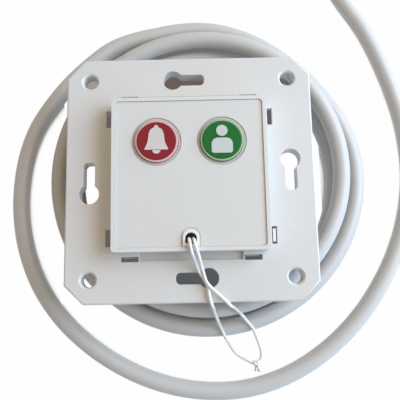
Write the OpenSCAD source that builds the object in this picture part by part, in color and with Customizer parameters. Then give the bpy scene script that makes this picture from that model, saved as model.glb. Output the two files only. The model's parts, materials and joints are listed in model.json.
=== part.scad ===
// Nurse call button for a flush wall box: a square mounting frame, a plug-in module with
// two push buttons and a pull cord, its electronics, and a coiled connection cable.
// The unit lies on its back. +Z points out of its face, +Y to its top edge and +X to its
// right. The origin is below the middle of the face, on the surface that it lies on.

/* [Mounting frame] */
// Side of the square mounting frame
frame_side = 74; // [72:0.5:78]
// Length cut off each side at the frame's corners
frame_chamfer = 5.6; // [4:0.1:7]
// Thickness of the frame's plate
plate_t = 2; // [1.7:0.1:2.4]
// Depth of the frame, from its front face to the ends of its rim and collars
frame_depth = 5; // [4:0.1:6]
// Wall of the rim and of the collars behind the frame's holes
rim_wall = 1.3; // [1:0.1:1.6]
// Bevel round the frame's front edge
frame_bevel = 0.4; // [0.2:0.05:0.7]
// Spacing of the corner holes and of the keyholes, which is that of a flush wall box
fixing_spacing = 60; // [59:0.1:61]
// Diameter of each corner hole
corner_hole_d = 4.2; // [3.6:0.1:4.6]
// Diameter of each corner hole's countersink
corner_sink_d = 5.3; // [5:0.1:6]
// Diameter of each keyhole's round end
keyhole_d = 5.9; // [5.4:0.1:6.4]
// Width of each keyhole's slot
keyhole_slot_w = 3.4; // [3:0.1:4]
// Length of each keyhole from end to end
keyhole_l = 12.5; // [11:0.1:14]
// How far each keyhole's middle lies towards its round end
keyhole_shift = 1.55; // [1:0.05:2]
// Radius of the corners at each keyhole slot's closed end
keyhole_corner_r = 1.3; // [0.6:0.1:1.4]
// Width of the shallow step across the middle of each side
step_w = 30; // [27:0.5:31]
// Depth of that step
step_depth = 0.06; // [0.04:0.02:0.2]
// Width of the slope at each end of that step
step_run = 0.6; // [0.3:0.05:0.8]
// Depth of the finger recesses above and below the module
recess_depth = 1.2; // [0.8:0.1:1.4]
// Width of the finger recess beyond the module's side
recess_reach = 2.3; // [1.5:0.1:2.6]

/* [Release slots and clips] */
// Length of each release slot beside the module
slot_l = 5.1; // [4.6:0.1:5.6]
// Width of each release slot
slot_w = 1.5; // [1.3:0.1:1.8]
// Distance between the middles of the two slots on a side
slot_spacing = 35.9; // [35.5:0.1:37]
// Distance from the module's side to a slot's far edge
slot_reach = 2.5; // [2.3:0.1:2.8]
// Width of each snap clip along the slot
clip_w = 3.8; // [3:0.1:4.2]
// Thickness of each snap clip
clip_t = 1.6; // [1.2:0.1:2]
// Thickness of the catch that stands in the slot
catch_t = 0.9; // [0.6:0.05:1]
// Height of the catch above its clip
catch_h = 2.1; // [1.2:0.1:2.2]

/* [Module] */
// Side of the square module
module_side = 45; // [44:0.25:46]
// Height of the module's rim above the frame's front face
module_height = 6; // [5.5:0.1:7.5]
// Radius of the module's corners
module_corner_r = 1; // [0.6:0.1:1.6]
// Wall between the module's side and its hollow
module_wall = 1.9; // [1.7:0.1:2.2]
// Width of the rim round the label
module_rim_w = 1.05; // [0.8:0.05:1.3]
// Depth of the label's surface below the rim
label_sink = 0.4; // [0.2:0.05:0.6]
// Thickness of the printed label
label_t = 0.25; // [0.15:0.05:0.4]
// Thickness of the module's face below the label
face_t = 1.45; // [1.2:0.05:1.8]
// How far the neck's sides lie inside the module's sides
neck_step = 0.6; // [0.5:0.05:0.8]
// Length of the neck behind the frame's front face
neck_depth = 6.5; // [6.2:0.1:8]

/* [Buttons] */
// Distance between the two buttons
button_spacing = 18.9; // [18.5:0.1:20]
// Height of the buttons above the middle of the face
button_y = 9.2; // [8.5:0.1:9.6]
// Diameter of the round opening for each button
button_hole_d = 14.3; // [14:0.1:14.5]
// Diameter of each button's cap
cap_d = 12.4; // [12:0.1:12.8]
// Diameter of the coloured disc on each cap
disc_d = 11.1; // [10:0.1:11.4]
// Thickness of each coloured disc
disc_t = 0.6; // [0.4:0.05:0.9]
// Height of each disc's edge above its cap
disc_proud = 0.3; // [0.15:0.05:0.4]
// Height of each cap above the module's rim
cap_proud = 0.3; // [0.1:0.05:0.8]
// Wall of each cap
cap_wall = 1; // [0.8:0.1:1.3]
// Thickness of each cap's top
cap_top_t = 1.3; // [1:0.1:1.6]
// Diameter of the stem that works the switch
stem_d = 3.2; // [2.6:0.1:3.6]
// How far each button travels
press_travel = 0.5; // [0.3:0.05:0.6]
// Width of the bell picture
bell_w = 6.75; // [6:0.05:7.2]
// Height of the bell picture with its knob and clapper
bell_h = 8.5; // [7.5:0.05:8.8]
// Width of the figure's shoulders
figure_w = 6.1; // [5:0.05:6.8]
// Height of the figure picture
figure_h = 8.25; // [7:0.05:8.6]
// Thickness of the raised pictures
picture_t = 0.2; // [0.1:0.05:0.3]

/* [Pull cord] */
// Diameter of the pull cord
cord_d = 1; // [0.8:0.05:1.1]
// Width of the eyelet
eyelet_w = 4.6; // [4.4:0.1:5]
// Height of the eyelet up the face
eyelet_h = 4.9; // [4.6:0.1:5.4]
// Width of the eyelet's opening
eyelet_hole_w = 3.3; // [3.1:0.05:3.5]
// Height of the eyelet's opening up the face
eyelet_hole_h = 2.9; // [2.8:0.05:3.3]
// Distance from the module's lower side to the eyelet's foot
eyelet_inset = 1.2; // [1.1:0.05:1.5]
// Width of the groove between the eyelet and the label
eyelet_groove = 0.5; // [0.3:0.05:0.7]
// How far the cord pulls the slider
pull_travel = 3; // [2:0.1:3.2]
// Diameter of the slider's rod
rod_d = 2.8; // [2.6:0.05:3]
// Outer diameter of the return spring
spring_d = 4.6; // [4.3:0.1:4.7]
// Diameter of the return spring's wire
spring_wire_d = 0.4; // [0.3:0.05:0.5]
// Number of turns of the return spring
spring_turns = 8; // [5:1:10]

/* [Housing and board] */
// Depth of the rear housing
housing_depth = 17.5; // [17:0.1:20]
// How far the housing's sides lie inside its flange
housing_step = 1.1; // [0.9:0.05:1.2]
// Thickness of the housing's flange
flange_t = 1.8; // [1.4:0.1:2.4]
// Wall of the rear housing
housing_wall = 1.6; // [1.4:0.1:1.8]
// Radius of the housing's corners
housing_corner_r = 2; // [1.2:0.1:2.6]
// Thickness of the circuit board
board_t = 1.6; // [1.2:0.1:1.8]
// Distance from the housing's mouth down to the back of the board
board_sink = 1.1; // [0.9:0.1:1.4]
// Diameter of the bosses and posts for the housing screws
boss_d = 5.2; // [4.8:0.1:5.4]
// Diameter of the screws' shanks
screw_d = 2; // [1.8:0.1:2.2]
// Diameter of the screws' heads
screw_head_d = 4; // [3.6:0.1:4.2]
// Height of the screws' heads
screw_head_h = 1.4; // [1.1:0.1:1.7]
// Depth of each screw's recess in the back of the housing
screw_recess = 3; // [2.4:0.1:3.6]

/* [Cable] */
// Diameter of the cable
cable_d = 5.5; // [5:0.1:5.5]
// Spacing of the coil's loops, both outwards and upwards
loop_pitch = 6.4; // [6.3:0.05:6.8]
// Least radius of the coil under the frame
coil_inner_r = 41; // [40.5:0.1:41.5]
// Least radius of the spare coil
spare_inner_r = 28.5; // [27:0.1:29]
// Diameter of the insulated cores in the cable
core_d = 1.1; // [0.8:0.1:1.3]
// Outer diameter of the cable gland where it leaves the housing
gland_d = 8.4; // [7.8:0.1:9]
// How far the gland stands out of the housing
gland_l = 1.2; // [1:0.1:1.8]

/* [Plug] */
// Length of the plug's body
plug_l = 21.5; // [19:0.1:23]
// Width of the plug's body
plug_w = 11.7; // [11:0.1:12.4]
// Height of the plug's body
plug_h = 8; // [7.4:0.1:8.6]
// Length of the plug's boot
boot_l = 13; // [10:0.5:15]

/* [Hidden] */

// Facets of a true round, of a hull's rounds, and of the swept tubes
round_fn = 64;
small_fn = 32;
wound_sides = 6;
free_sides = 8;
loop_rings = 24;
half_turn = 180;
full_turn = 360;

// Overrun of every cut, and the clearances between pieces
over = 0.5;
slide_gap = 0.05;
loose_gap = 0.3;
seat_gap = 0.2;

// Levels, from the surface that the unit lies on up to the top of the caps
front_z = housing_depth + neck_depth;
plate_back_z = front_z - plate_t;
frame_back_z = front_z - frame_depth;
rim_z = front_z + module_height;
label_z = rim_z - label_sink;
face_z = label_z - label_t;
under_z = face_z - face_t;
cap_z = rim_z + cap_proud;
disc_z = cap_z + disc_proud;
board_z = housing_depth - board_sink;
board_top_z = board_z + board_t;

// Half sizes of the nested squares
frame_half = frame_side / 2;
module_half = module_side / 2;
neck_half = module_half - neck_step;
window_half = neck_half + loose_gap;
hollow_half = module_half - module_wall;
housing_half = neck_half - housing_step;
cavity_half = housing_half - housing_wall;
board_half = cavity_half - seat_gap;
label_half = module_half - module_rim_w;
fixing_half = fixing_spacing / 2;

// Where the screws of the housing stand
boss_inset = 1.7;
boss_at = cavity_half - boss_inset;
head_gap = 0.3;
pilot_depth = 2;
screw_end_z = under_z - pilot_depth;
screw_slot_w = 0.6;
screw_slot_depth = 0.7;

// The clips reach under the release slots' inner edges, and one clip's catch, on the side
// and at the end given here, stands in the middle of its slot
slot_at = module_half + slot_reach - slot_w / 2;
clip_lap = 0.3;
clip_top_z = plate_back_z - loose_gap;
catch_turn = 3;
catch_side = 1;

// The eyelet and the slider behind it
eyelet_foot_y = -module_half + eyelet_inset;
eyelet_top_y = eyelet_foot_y + eyelet_h;
eyelet_foot_w = 1.05;
eyelet_hole_low_y = eyelet_foot_y + eyelet_foot_w;
eyelet_hole_y = eyelet_hole_low_y + eyelet_hole_h - eyelet_hole_w / 2;
eyelet_proud = 0.1;
eyelet_stem_wall = 0.5;
eyelet_stem_l = 1;
slider_inset = 2.8;
slider_y = -cavity_half + slider_inset;
guide_wall = 1.1;
guide_l = 2.5;
guide_z = board_top_z + over;
chamber_z = guide_z + guide_l;
guide_pin_d = 1.6;
guide_pin_l = 6;

// The microswitch that the slider works, with its lever and plunger
micro_l = 12.8;
micro_w = 5.8;
micro_h = 6.5;
micro_back_y = 1.5;
micro_z = board_z - micro_h;
ear_t = 0.6;
ear_reach = 0.9;
ear_drop = 1.4;
lever_l = 10;
lever_w = 3.6;
lever_t = 0.4;
lever_inset = 2;
lever_pin_d = 0.8;
pivot_drop = 0.6;
pivot_y = micro_back_y - lever_inset;
pivot_z = micro_z - pivot_drop;
turn_per_mm = half_turn / PI / lever_l;
lever_rest_deg = pull_travel * turn_per_mm;
lever_gap = 0.25;
micro_plunger_d = 1.2;
micro_plunger_at = 3.5;
micro_plunger_l = 3.8;
micro_plunger_share = 0.35;
micro_plunger_z = pivot_z - micro_plunger_at * tan(lever_rest_deg) + lever_t / 2 + loose_gap;

// The slider, from its flange up to the top of its rod
slider_flange_d = 5;
slider_flange_t = 1.2;
arm_w = 3;
arm_reach = 7;
arm_top_z = pivot_z - lever_l * sin(lever_rest_deg) - lever_t / 2 - lever_gap;
slider_z = arm_top_z - slider_flange_t;
stop_z = slider_z - loose_gap;
guide_pin_z = stop_z + guide_pin_l;
slider_bore_l = guide_pin_z - slider_z + pull_travel + over;

// The tactile switches and lamps on the board
tact_side = 6.2;
tact_h = 3.5;
tact_plunger_d = 3.5;
tact_plunger_proud = 0.8;
tact_plunger_in = 1.2;
tact_bore_depth = 2;
led_l = 2;
led_w = 1.4;
led_h = 0.8;
led_at = 5;

// The rings that guide light round the caps, and the caps' flanges behind them
ring_gap = 0.1;
ring_sink = 0.2;
ring_flange_w = 0.65;
ring_flange_t = 0.6;
cap_flange_w = 1.2;
cap_flange_t = 0.8;
ring_top_z = label_z - ring_sink;
ring_low_z = under_z - ring_flange_t;
cap_flange_z = ring_low_z - loose_gap;

// The board's supports and the pegs that hold it down
ledge_l = 8;
ledge_w = 1.2;
ledge_at = 7;
peg_d = 2;
peg_inset = 1.4;
peg_y = -6;
notch_gap = 0.3;
cut_w = 6.4;

// The header, the cable's clamp and its cores inside the housing
header_l = 10;
header_w = 6;
header_h = 5;
header_x = -11;
header_y = 2;
cable_x = -10.8;
cable_z = 6;
sheath_end_y = -7;
clamp_y = -11;
clamp_w = 4;
clamp_t = 1.6;
clamp_reach = 5.6;
clamp_screw_at = 4.6;
clamp_screw_d = 1.4;
clamp_head_d = 2.4;
clamp_head_h = 0.8;
clamp_bite = 1.4;
core_bundle = 0.85;
core_count = 4;
core_spacing = 2;

// The gland, which tapers away from the housing
gland_tip_d = 7;
gland_flange_d = 8;
gland_flange_t = 0.8;
gland_bore_gap = 0.1;

// The coil under the frame turns counter-clockwise about this point
coil_x = 4.1;
coil_y = 4.1;
coil_start = -30;
coil_reverse = 145;
coil_climb = 75;
coil_fall = 415;
coil_end = 820;
coil_press = 2.8;
coil_press_at = 766;
coil_press_reach = 50;

// The spare coil, past the top edge
spare_x = 20;
spare_y = 110;
spare_start = -10;
spare_climb = 135;
spare_reverse = 225;
spare_end = 470;

// The plug and its pieces
plug_heading = 242;
plug_at = [-21, 113];
plug_edge = 0.8;
boot_d = 7.6;
boot_tip_d = 6.8;
boot_in = 2;
boot_stub_d = 5.8;
contact_w = 0.32;
contact_l = 3;
contact_h = 3.2;
contact_count = 8;
contact_pitch = 1.02;
contact_proud = 0.15;
contact_inset = 0.9;
contact_slot_w = 0.5;
latch_l = 13;
latch_w = 6;
latch_t = 0.9;
latch_root = 3;
latch_lift = 1.2;
latch_post_l = 2;
latch_gap = 0.1;

// Ring positions follow this frame of two directions across the tube
function unit(v) = v / norm(v);
function across(v, way) = unit(v - (v * way) * way);
function any_side(way) = abs(way[2]) < 0.9 ? unit(cross(way, [0, 0, 1])) : unit(cross(way, [0, 1, 0]));
function ways(path, first_way, last_way) = [
    for (i = [0 : len(path) - 1])
        i == 0 ? first_way
        : i == len(path) - 1 ? last_way
        : unit(path[i + 1] - path[i - 1])
];
function sides_along(way_list) = [
    for (i = 0, side = any_side(way_list[0]);
         i < len(way_list);
         side = i + 1 < len(way_list) ? across(side, way_list[i + 1]) : side, i = i + 1) side
];

// A closed tube of one radius along a path
module tube(path, radius, sides, first_way, last_way) {
    way_list = ways(path, first_way, last_way);
    side_list = sides_along(way_list);
    rings = len(path);
    points = [
        for (i = [0 : rings - 1], k = [0 : sides - 1])
            let (turn = full_turn * k / sides, rise = cross(way_list[i], side_list[i]))
            path[i] + radius * (cos(turn) * side_list[i] + sin(turn) * rise)
    ];
    skin = [
        for (i = [0 : rings - 2], k = [0 : sides - 1])
            let (a = i * sides + k, b = i * sides + (k + 1) % sides)
            each [[a, a + sides, b], [b, a + sides, b + sides]]
    ];
    first_cap = [for (k = [1 : sides - 2]) [0, k, k + 1]];
    last_cap = [for (k = [1 : sides - 2])
        [(rings - 1) * sides, (rings - 1) * sides + k + 1, (rings - 1) * sides + k]];
    polyhedron(points = points, faces = concat(skin, first_cap, last_cap), convexity = 8);
}

// Piled loops spiral in to the reversing angle and out again at a steady rate. They
// climb a layer in the half turn from the climbing angle, and come down from the falling
// angle. A loop may be pressed in at one place. A coil is given as [middle, least radius,
// reversing, climbing and falling angle, first and last angle, depth, angle and reach of
// the pressed place].
function eased(share) = let (t = max(0, min(1, share))) t * t * (3 - 2 * t);
function pressed(angle, place, reach) = abs(angle - place) < reach
    ? (1 + cos(half_turn * (angle - place) / reach)) / 2 : 0;
function loop_point(coil, angle) =
    let (
        r = coil[1] + loop_pitch * abs(angle - coil[2]) / full_turn
            - coil[7] * pressed(angle, coil[8], coil[9]),
        layers = eased((angle - coil[3]) / half_turn) - eased((angle - coil[4]) / half_turn)
    )
    [coil[0][0] + r * cos(angle), coil[0][1] + r * sin(angle), cable_d / 2 + loop_pitch * layers];
function heading(angle) = [-sin(angle), cos(angle), 0];
function loops(coil, step) =
    let (start = coil[5], end = coil[6], count = round((end - start) / step))
    concat(
        [loop_point(coil, start) - cable_d * heading(start)],
        [for (i = [0 : count]) loop_point(coil, start + (end - start) * i / count)],
        [loop_point(coil, end) + cable_d * heading(end)]
    );
function path_length(path) = len(path) < 2 ? 0 : [for (i = [1 : len(path) - 1]) norm(path[i] - path[i - 1])]
    * [for (i = [1 : len(path) - 1]) 1];

// The least gap between strands, from points a few degrees apart; neighbours along the
// same strand, up to a third of a turn away, are left out
gap_step = 5;
function least_gap(path) = min([
    for (i = [0 : len(path) - 1], j = [i + floor(full_turn / 3 / gap_step) : 1 : len(path) - 1])
        norm(path[i] - path[j]) - cable_d
]);

coil = [[coil_x, coil_y], coil_inner_r, coil_reverse, coil_climb, coil_fall, coil_start, coil_end,
    coil_press, coil_press_at, coil_press_reach];
spare = [[spare_x, spare_y], spare_inner_r, spare_reverse, spare_climb, spare_end, spare_start, spare_end,
    0, 0, half_turn];
ring_step = full_turn / loop_rings;
coil_path = loops(coil, ring_step);
spare_path = loops(spare, ring_step);

// Routes of the free stretches, chosen by hand
lead_route = concat(
    [[-10.8, -7, 6], [-10.8, -14.5, 6], [-10.8, -22, 5.9], [-9.7, -28, 5.1], [-6.6, -33.3, 3.9],
     [-1.8, -37, 3.05], [3.8, -38.6, 2.75], [13, -38.4, 2.75], [22.4, -35.3, 2.75], [31.7, -29.8, 2.75]],
    [coil_path[0]]
);
loop_route = concat(
    [coil_path[len(coil_path) - 1]],
    [[-18.6, 53.6, 2.75], [-26.5, 50.6, 2.75], [-34.2, 44.8, 2.75], [-47.4, 30.2, 2.75],
     [-52.2, 22.2, 2.75], [-55.2, 13.4, 2.75], [-56.7, 3.6, 2.75], [-56.7, -7.2, 2.75],
     [-54.4, -19.8, 2.75], [-50, -30.8, 2.75], [-43.2, -40.8, 2.75], [-34.2, -49.5, 2.75],
     [-23.4, -56.7, 2.75],
     [-11, -62, 2.75], [2.6, -64.7, 2.75], [16.4, -64.3, 2.75], [29.8, -60.3, 2.75], [42, -53.2, 2.75],
     [53, -43.2, 2.75], [62, -30.9, 2.75], [69.4, -15, 2.75], [73, 2, 2.75], [72.4, 20, 2.75],
     [67.6, 39.6, 2.75], [61, 56, 2.75], [54.2, 67.4, 2.75], [49.4, 77, 2.75],
     [48.6, 88, 2.75]],
    [spare_path[0]]
);
tail_route = concat(
    [spare_path[len(spare_path) - 1]],
    [[-1.8, 136.5, 8.4], [-8.6, 132, 6.2], [-14.6, 125.6, 4.5]],
    [[plug_at[0], plug_at[1], plug_h / 2]]
);
pull_route = [
    [-0.7, -16.4, 21.1], [-0.7, -16.5, 22], [-0.6, -18.7, 24.8], [-0.5, -19.2, 29.4], [-0.4, -19.9, 30.8],
    [-0.2, -21.2, 31.1], [0.1, -22.6, 30.7], [1, -25, 27.9], [1.9, -27.7, 25.1], [4.3, -32, 24.6],
    [5.2, -36.6, 24.6], [5.6, -37.7, 23.6], [6.1, -38.7, 18.6], [6.6, -40.4, 13.4], [7.3, -42.2, 10.6],
    [8.4, -45, 6.8], [9.7, -47.9, 5.1], [11, -50.2, 1.4], [13.3, -53.6, 0.6], [16.8, -55.9, 0.6],
    [19.9, -57, 1], [21.4, -55.6, 0.6], [21.4, -52.6, 0.6], [20.2, -49, 1.3], [18.4, -45.4, 5.6],
    [16.9, -43.5, 6.6], [15.2, -41.5, 10.7], [13.4, -39.6, 12.5], [12.3, -38.7, 15.6], [11.4, -38.2, 20.6],
    [10.5, -37.5, 23.8], [9.3, -36.3, 24.6], [5.6, -32.9, 25.2], [4.3, -31.4, 25.7], [3.1, -27.6, 25.3],
    [2.4, -25, 28], [1.7, -22.6, 30.7], [1.3, -21.2, 31.1], [1, -19.9, 30.8], [0.8, -19.2, 29.4],
    [0.7, -18.7, 24.8], [0.7, -16.5, 22], [0.7, -16.4, 21.1]
];
knot_at = [19.9, -57, 1.2];
knot_d = 2.4;
knot_tail_l = 1.5;
knot_tail_turns = [-70, -120];
knot_tail_droop = 8;

echo(coil_least_gap = least_gap(loops(coil, gap_step)));
echo(spare_least_gap = least_gap(loops(spare, gap_step)));
echo(cable_length = path_length(lead_route) + path_length(coil_path) + path_length(loop_route)
    + path_length(spare_path) + path_length(tail_route));
echo(pull_cord_length = path_length(pull_route));

// Plain shapes between two levels
module block(low_x, high_x, low_y, high_y, low_z, high_z) {
    translate([low_x, low_y, low_z])
        cube([high_x - low_x, high_y - low_y, high_z - low_z]);
}

module square_block(half, low_z, high_z) {
    block(-half, half, -half, half, low_z, high_z);
}

module disc(d, low_z, high_z, x = 0, y = 0) {
    translate([x, y, low_z])
        cylinder(d = d, h = high_z - low_z, $fn = round_fn);
}

module rounded_block(half, corner_r, low_z, high_z) {
    flat = half - corner_r;
    block(-half, half, -flat, flat, low_z, high_z);
    block(-flat, flat, -half, half, low_z, high_z);
    for (x = [-flat, flat], y = [-flat, flat])
        disc(2 * corner_r, low_z, high_z, x, y);
}

module at_four(spacing_half) {
    for (x = [-spacing_half, spacing_half], y = [-spacing_half, spacing_half])
        translate([x, y, 0]) children();
}

module on_each_side() {
    for (turn = [0 : 3])
        rotate([0, 0, turn * half_turn / 2]) children();
}

// The frame's outline, with its corners cut off
module frame_outline(half, chamfer) {
    cut = half - chamfer;
    polygon([
        [half, -cut], [half, cut], [cut, half], [-cut, half],
        [-half, cut], [-half, -cut], [-cut, -half], [cut, -half]
    ]);
}

// One keyhole at the top of the frame, grown by a wall where it is a collar
module keyhole(grow, low_z, high_z) {
    middle_x = -keyhole_shift;
    round_x = middle_x - keyhole_l / 2 + keyhole_d / 2;
    end_x = middle_x + keyhole_l / 2 + grow;
    half_w = keyhole_slot_w / 2 + grow;
    corner_r = keyhole_corner_r + grow;
    disc(keyhole_d + 2 * grow, low_z, high_z, round_x, fixing_half);
    block(round_x, end_x - corner_r, fixing_half - half_w, fixing_half + half_w, low_z, high_z);
    block(round_x, end_x, fixing_half - half_w + corner_r, fixing_half + half_w - corner_r, low_z, high_z);
    for (side = [-1, 1])
        disc(2 * corner_r, low_z, high_z, end_x - corner_r, fixing_half + side * (half_w - corner_r));
}

// The shallow step's floor, with a gentle slope up to the face on both sides
module shallow_step() {
    hull() {
        block(-step_w / 2, step_w / 2, window_half - over, frame_half + over,
              front_z - step_depth, front_z);
        block(-step_w / 2 - step_run, step_w / 2 + step_run, window_half - over, frame_half + over,
              front_z, front_z + over);
    }
}

module mounting_frame() {
    rim_cut_half = frame_half - rim_wall;
    rim_cut_chamfer = frame_chamfer - rim_wall * (2 - sqrt(2));
    sink_depth = (corner_sink_d - corner_hole_d) / 2;
    color([0.85, 0.855, 0.865])
    difference() {
        union() {
            difference() {
                translate([0, 0, frame_back_z])
                    linear_extrude(frame_depth - frame_bevel) frame_outline(frame_half, frame_chamfer);
                translate([0, 0, frame_back_z - over])
                    linear_extrude(plate_back_z - frame_back_z + over)
                        frame_outline(rim_cut_half, rim_cut_chamfer);
            }
            hull() {
                translate([0, 0, front_z - 2 * frame_bevel])
                    linear_extrude(frame_bevel) frame_outline(frame_half, frame_chamfer);
                translate([0, 0, front_z - frame_bevel])
                    linear_extrude(frame_bevel)
                        frame_outline(frame_half - frame_bevel,
                                      frame_chamfer - frame_bevel * (2 - sqrt(2)));
            }
            at_four(fixing_half) disc(corner_sink_d + 2 * rim_wall, frame_back_z, front_z - frame_bevel);
            on_each_side() keyhole(rim_wall, frame_back_z, front_z - frame_bevel);
        }
        square_block(window_half, frame_back_z - over, front_z + over);
        on_each_side() {
            keyhole(0, frame_back_z - over, front_z + over);
            shallow_step();
            for (side = [-1, 1])
                translate([side * slot_spacing / 2, slot_at, 0])
                    block(-slot_l / 2, slot_l / 2, -slot_w / 2, slot_w / 2,
                          frame_back_z - over, front_z + over);
        }
        for (turn = [0, half_turn])
            rotate([0, 0, turn])
                block(-step_w / 2, step_w / 2, window_half - over, module_half + recess_reach,
                      front_z - recess_depth, front_z + over);
        at_four(fixing_half) {
            disc(corner_hole_d, frame_back_z - over, front_z + over);
            translate([0, 0, front_z - sink_depth])
                cylinder(d1 = corner_hole_d, d2 = corner_sink_d + 2 * over,
                         h = sink_depth + over, $fn = round_fn);
        }
    }
}

// Snap clip on one side of the neck, which a release slot lets a blade press back
module snap_clip() {
    block(-clip_w / 2, clip_w / 2, neck_half - over, slot_at - slot_w / 2 + clip_lap,
          clip_top_z - clip_t, clip_top_z);
}

// Longer snap clip, with the catch that stands in its slot
module catch_clip() {
    block(-clip_w / 2, clip_w / 2, neck_half - over, slot_at + catch_t / 2,
          clip_top_z - clip_t, clip_top_z);
    block(-clip_w / 2, clip_w / 2, slot_at - catch_t / 2, slot_at + catch_t / 2,
          clip_top_z - clip_t, clip_top_z + catch_h);
}

// Opening of arch form: round above, straight below
module arch(width, top_y, low_y, low_z, high_z) {
    disc(width, low_z, high_z, 0, top_y - width / 2);
    block(-width / 2, width / 2, low_y, top_y - width / 2, low_z, high_z);
}

module front_bezel() {
    chamber_high_y = slider_y + rod_d / 2 + slide_gap;
    guide_d = rod_d + 2 * slide_gap + 2 * guide_wall;
    color([0.88, 0.885, 0.89])
    difference() {
        union() {
            difference() {
                union() {
                    rounded_block(module_half, module_corner_r, front_z, rim_z);
                    rounded_block(neck_half, module_corner_r, housing_depth, front_z + over);
                }
                square_block(hollow_half, housing_depth - over, under_z);
            }
            at_four(boss_at) disc(boss_d, housing_depth, under_z + over);
            disc(guide_d, guide_z, under_z + over, 0, slider_y);
            block(-guide_d / 2, guide_d / 2, -hollow_half - over, slider_y, guide_z, under_z + over);
            disc(peg_d, board_top_z, under_z + over, 0, board_half - peg_inset);
            for (side = [-1, 1])
                disc(peg_d, board_top_z, under_z + over, side * (board_half - peg_inset), peg_y);
            on_each_side()
                for (side = [-1, 1])
                    translate([side * slot_spacing / 2, 0, 0]) snap_clip();
            rotate([0, 0, catch_turn * half_turn / 2])
                translate([catch_side * slot_spacing / 2, 0, 0]) catch_clip();
        }
        rounded_block(label_half, module_corner_r, face_z, rim_z + over);
        for (side = [-1, 1])
            disc(button_hole_d, under_z - over, rim_z + over, side * button_spacing / 2, button_y);
        at_four(boss_at) disc(screw_d + 2 * slide_gap, housing_depth - over, screw_end_z + over);
        disc(rod_d + 2 * slide_gap, guide_z - over, under_z, 0, slider_y);
        block(-eyelet_hole_w / 2, eyelet_hole_w / 2, eyelet_hole_low_y, chamber_high_y, chamber_z, under_z);
        arch(eyelet_hole_w, eyelet_hole_low_y + eyelet_hole_h, eyelet_hole_low_y, under_z - over, rim_z);
        arch(eyelet_hole_w + 2 * eyelet_stem_wall + 2 * slide_gap,
             eyelet_hole_low_y + eyelet_hole_h + eyelet_stem_wall + slide_gap,
             eyelet_hole_low_y - eyelet_stem_wall - slide_gap, face_z - eyelet_stem_l - slide_gap, rim_z);
    }
}

module face_label() {
    label_edge = label_half - slide_gap;
    color([0.86, 0.865, 0.875])
    difference() {
        rounded_block(label_edge, module_corner_r, face_z, label_z);
        for (side = [-1, 1])
            disc(button_hole_d, face_z - over, label_z + over, side * button_spacing / 2, button_y);
        arch(eyelet_w + 2 * eyelet_groove, eyelet_top_y + eyelet_groove, -module_half,
             face_z - over, label_z + over);
    }
}

module cord_eyelet() {
    stem_w = eyelet_hole_w + 2 * eyelet_stem_wall;
    color([0.93, 0.935, 0.94])
    difference() {
        union() {
            arch(eyelet_w, eyelet_top_y, eyelet_foot_y, face_z, rim_z + eyelet_proud);
            arch(stem_w, eyelet_hole_low_y + eyelet_hole_h + eyelet_stem_wall,
                 eyelet_hole_low_y - eyelet_stem_wall, face_z - eyelet_stem_l, face_z + eyelet_proud);
        }
        arch(eyelet_hole_w, eyelet_hole_low_y + eyelet_hole_h, eyelet_hole_low_y,
             face_z - eyelet_stem_l - over, rim_z + eyelet_proud + over);
    }
}

// Parts of a button, about its own axis
module light_ring() {
    color([0.9, 0.9, 0.88])
    difference() {
        union() {
            disc(button_hole_d - 2 * slide_gap, under_z - ring_flange_t, ring_top_z);
            disc(button_hole_d + 2 * ring_flange_w, ring_low_z, under_z);
        }
        disc(cap_d + 2 * ring_gap, ring_low_z - over, ring_top_z + over);
    }
}

module button_cap() {
    inner_d = cap_d - 2 * cap_wall;
    plunger_top_z = board_top_z + tact_h + tact_plunger_proud;
    color([0.92, 0.92, 0.92])
    difference() {
        union() {
            difference() {
                union() {
                    disc(cap_d, cap_flange_z - cap_flange_t, cap_z);
                    disc(cap_d + 2 * cap_flange_w, cap_flange_z - cap_flange_t, cap_flange_z);
                }
                disc(inner_d, cap_flange_z - cap_flange_t - over, cap_z - cap_top_t);
            }
            disc(stem_d, plunger_top_z, cap_z - cap_top_t + over);
        }
        disc(disc_d + 2 * slide_gap, disc_z - disc_t, cap_z + over);
    }
}

module button_disc(paint) {
    color(paint)
    disc(disc_d, disc_z - disc_t, disc_z);
}

module switch_body() {
    body_top_z = board_top_z + tact_h;
    color([0.16, 0.16, 0.17])
    difference() {
        square_block(tact_side / 2, board_top_z, body_top_z);
        disc(tact_plunger_d + 2 * slide_gap, body_top_z - tact_bore_depth, body_top_z + over);
    }
}

module switch_plunger() {
    body_top_z = board_top_z + tact_h;
    color([0.75, 0.72, 0.66])
    disc(tact_plunger_d, body_top_z - tact_plunger_in, body_top_z + tact_plunger_proud);
}

module leds() {
    color([0.95, 0.93, 0.8])
    for (side = [-1, 1])
        translate([0, side * led_at, 0])
            block(-led_l / 2, led_l / 2, -led_w / 2, led_w / 2, board_top_z, board_top_z + led_h);
}

module call_side() {
    translate([-button_spacing / 2, button_y, 0]) children();
}

module presence_side() {
    translate([button_spacing / 2, button_y, 0]) children();
}

module call_light_ring() call_side() light_ring();
module presence_light_ring() presence_side() light_ring();
module call_button_cap() call_side() button_cap();
module presence_button_cap() presence_side() button_cap();
module call_button_disc() call_side() button_disc([0.66, 0.17, 0.2]);
module presence_button_disc() presence_side() button_disc([0.2, 0.48, 0.25]);
module call_switch_body() call_side() switch_body();
module presence_switch_body() presence_side() switch_body();
module call_switch_plunger() call_side() switch_plunger();
module presence_switch_plunger() presence_side() switch_plunger();
module call_leds() call_side() leds();
module presence_leds() presence_side() leds();

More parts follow.
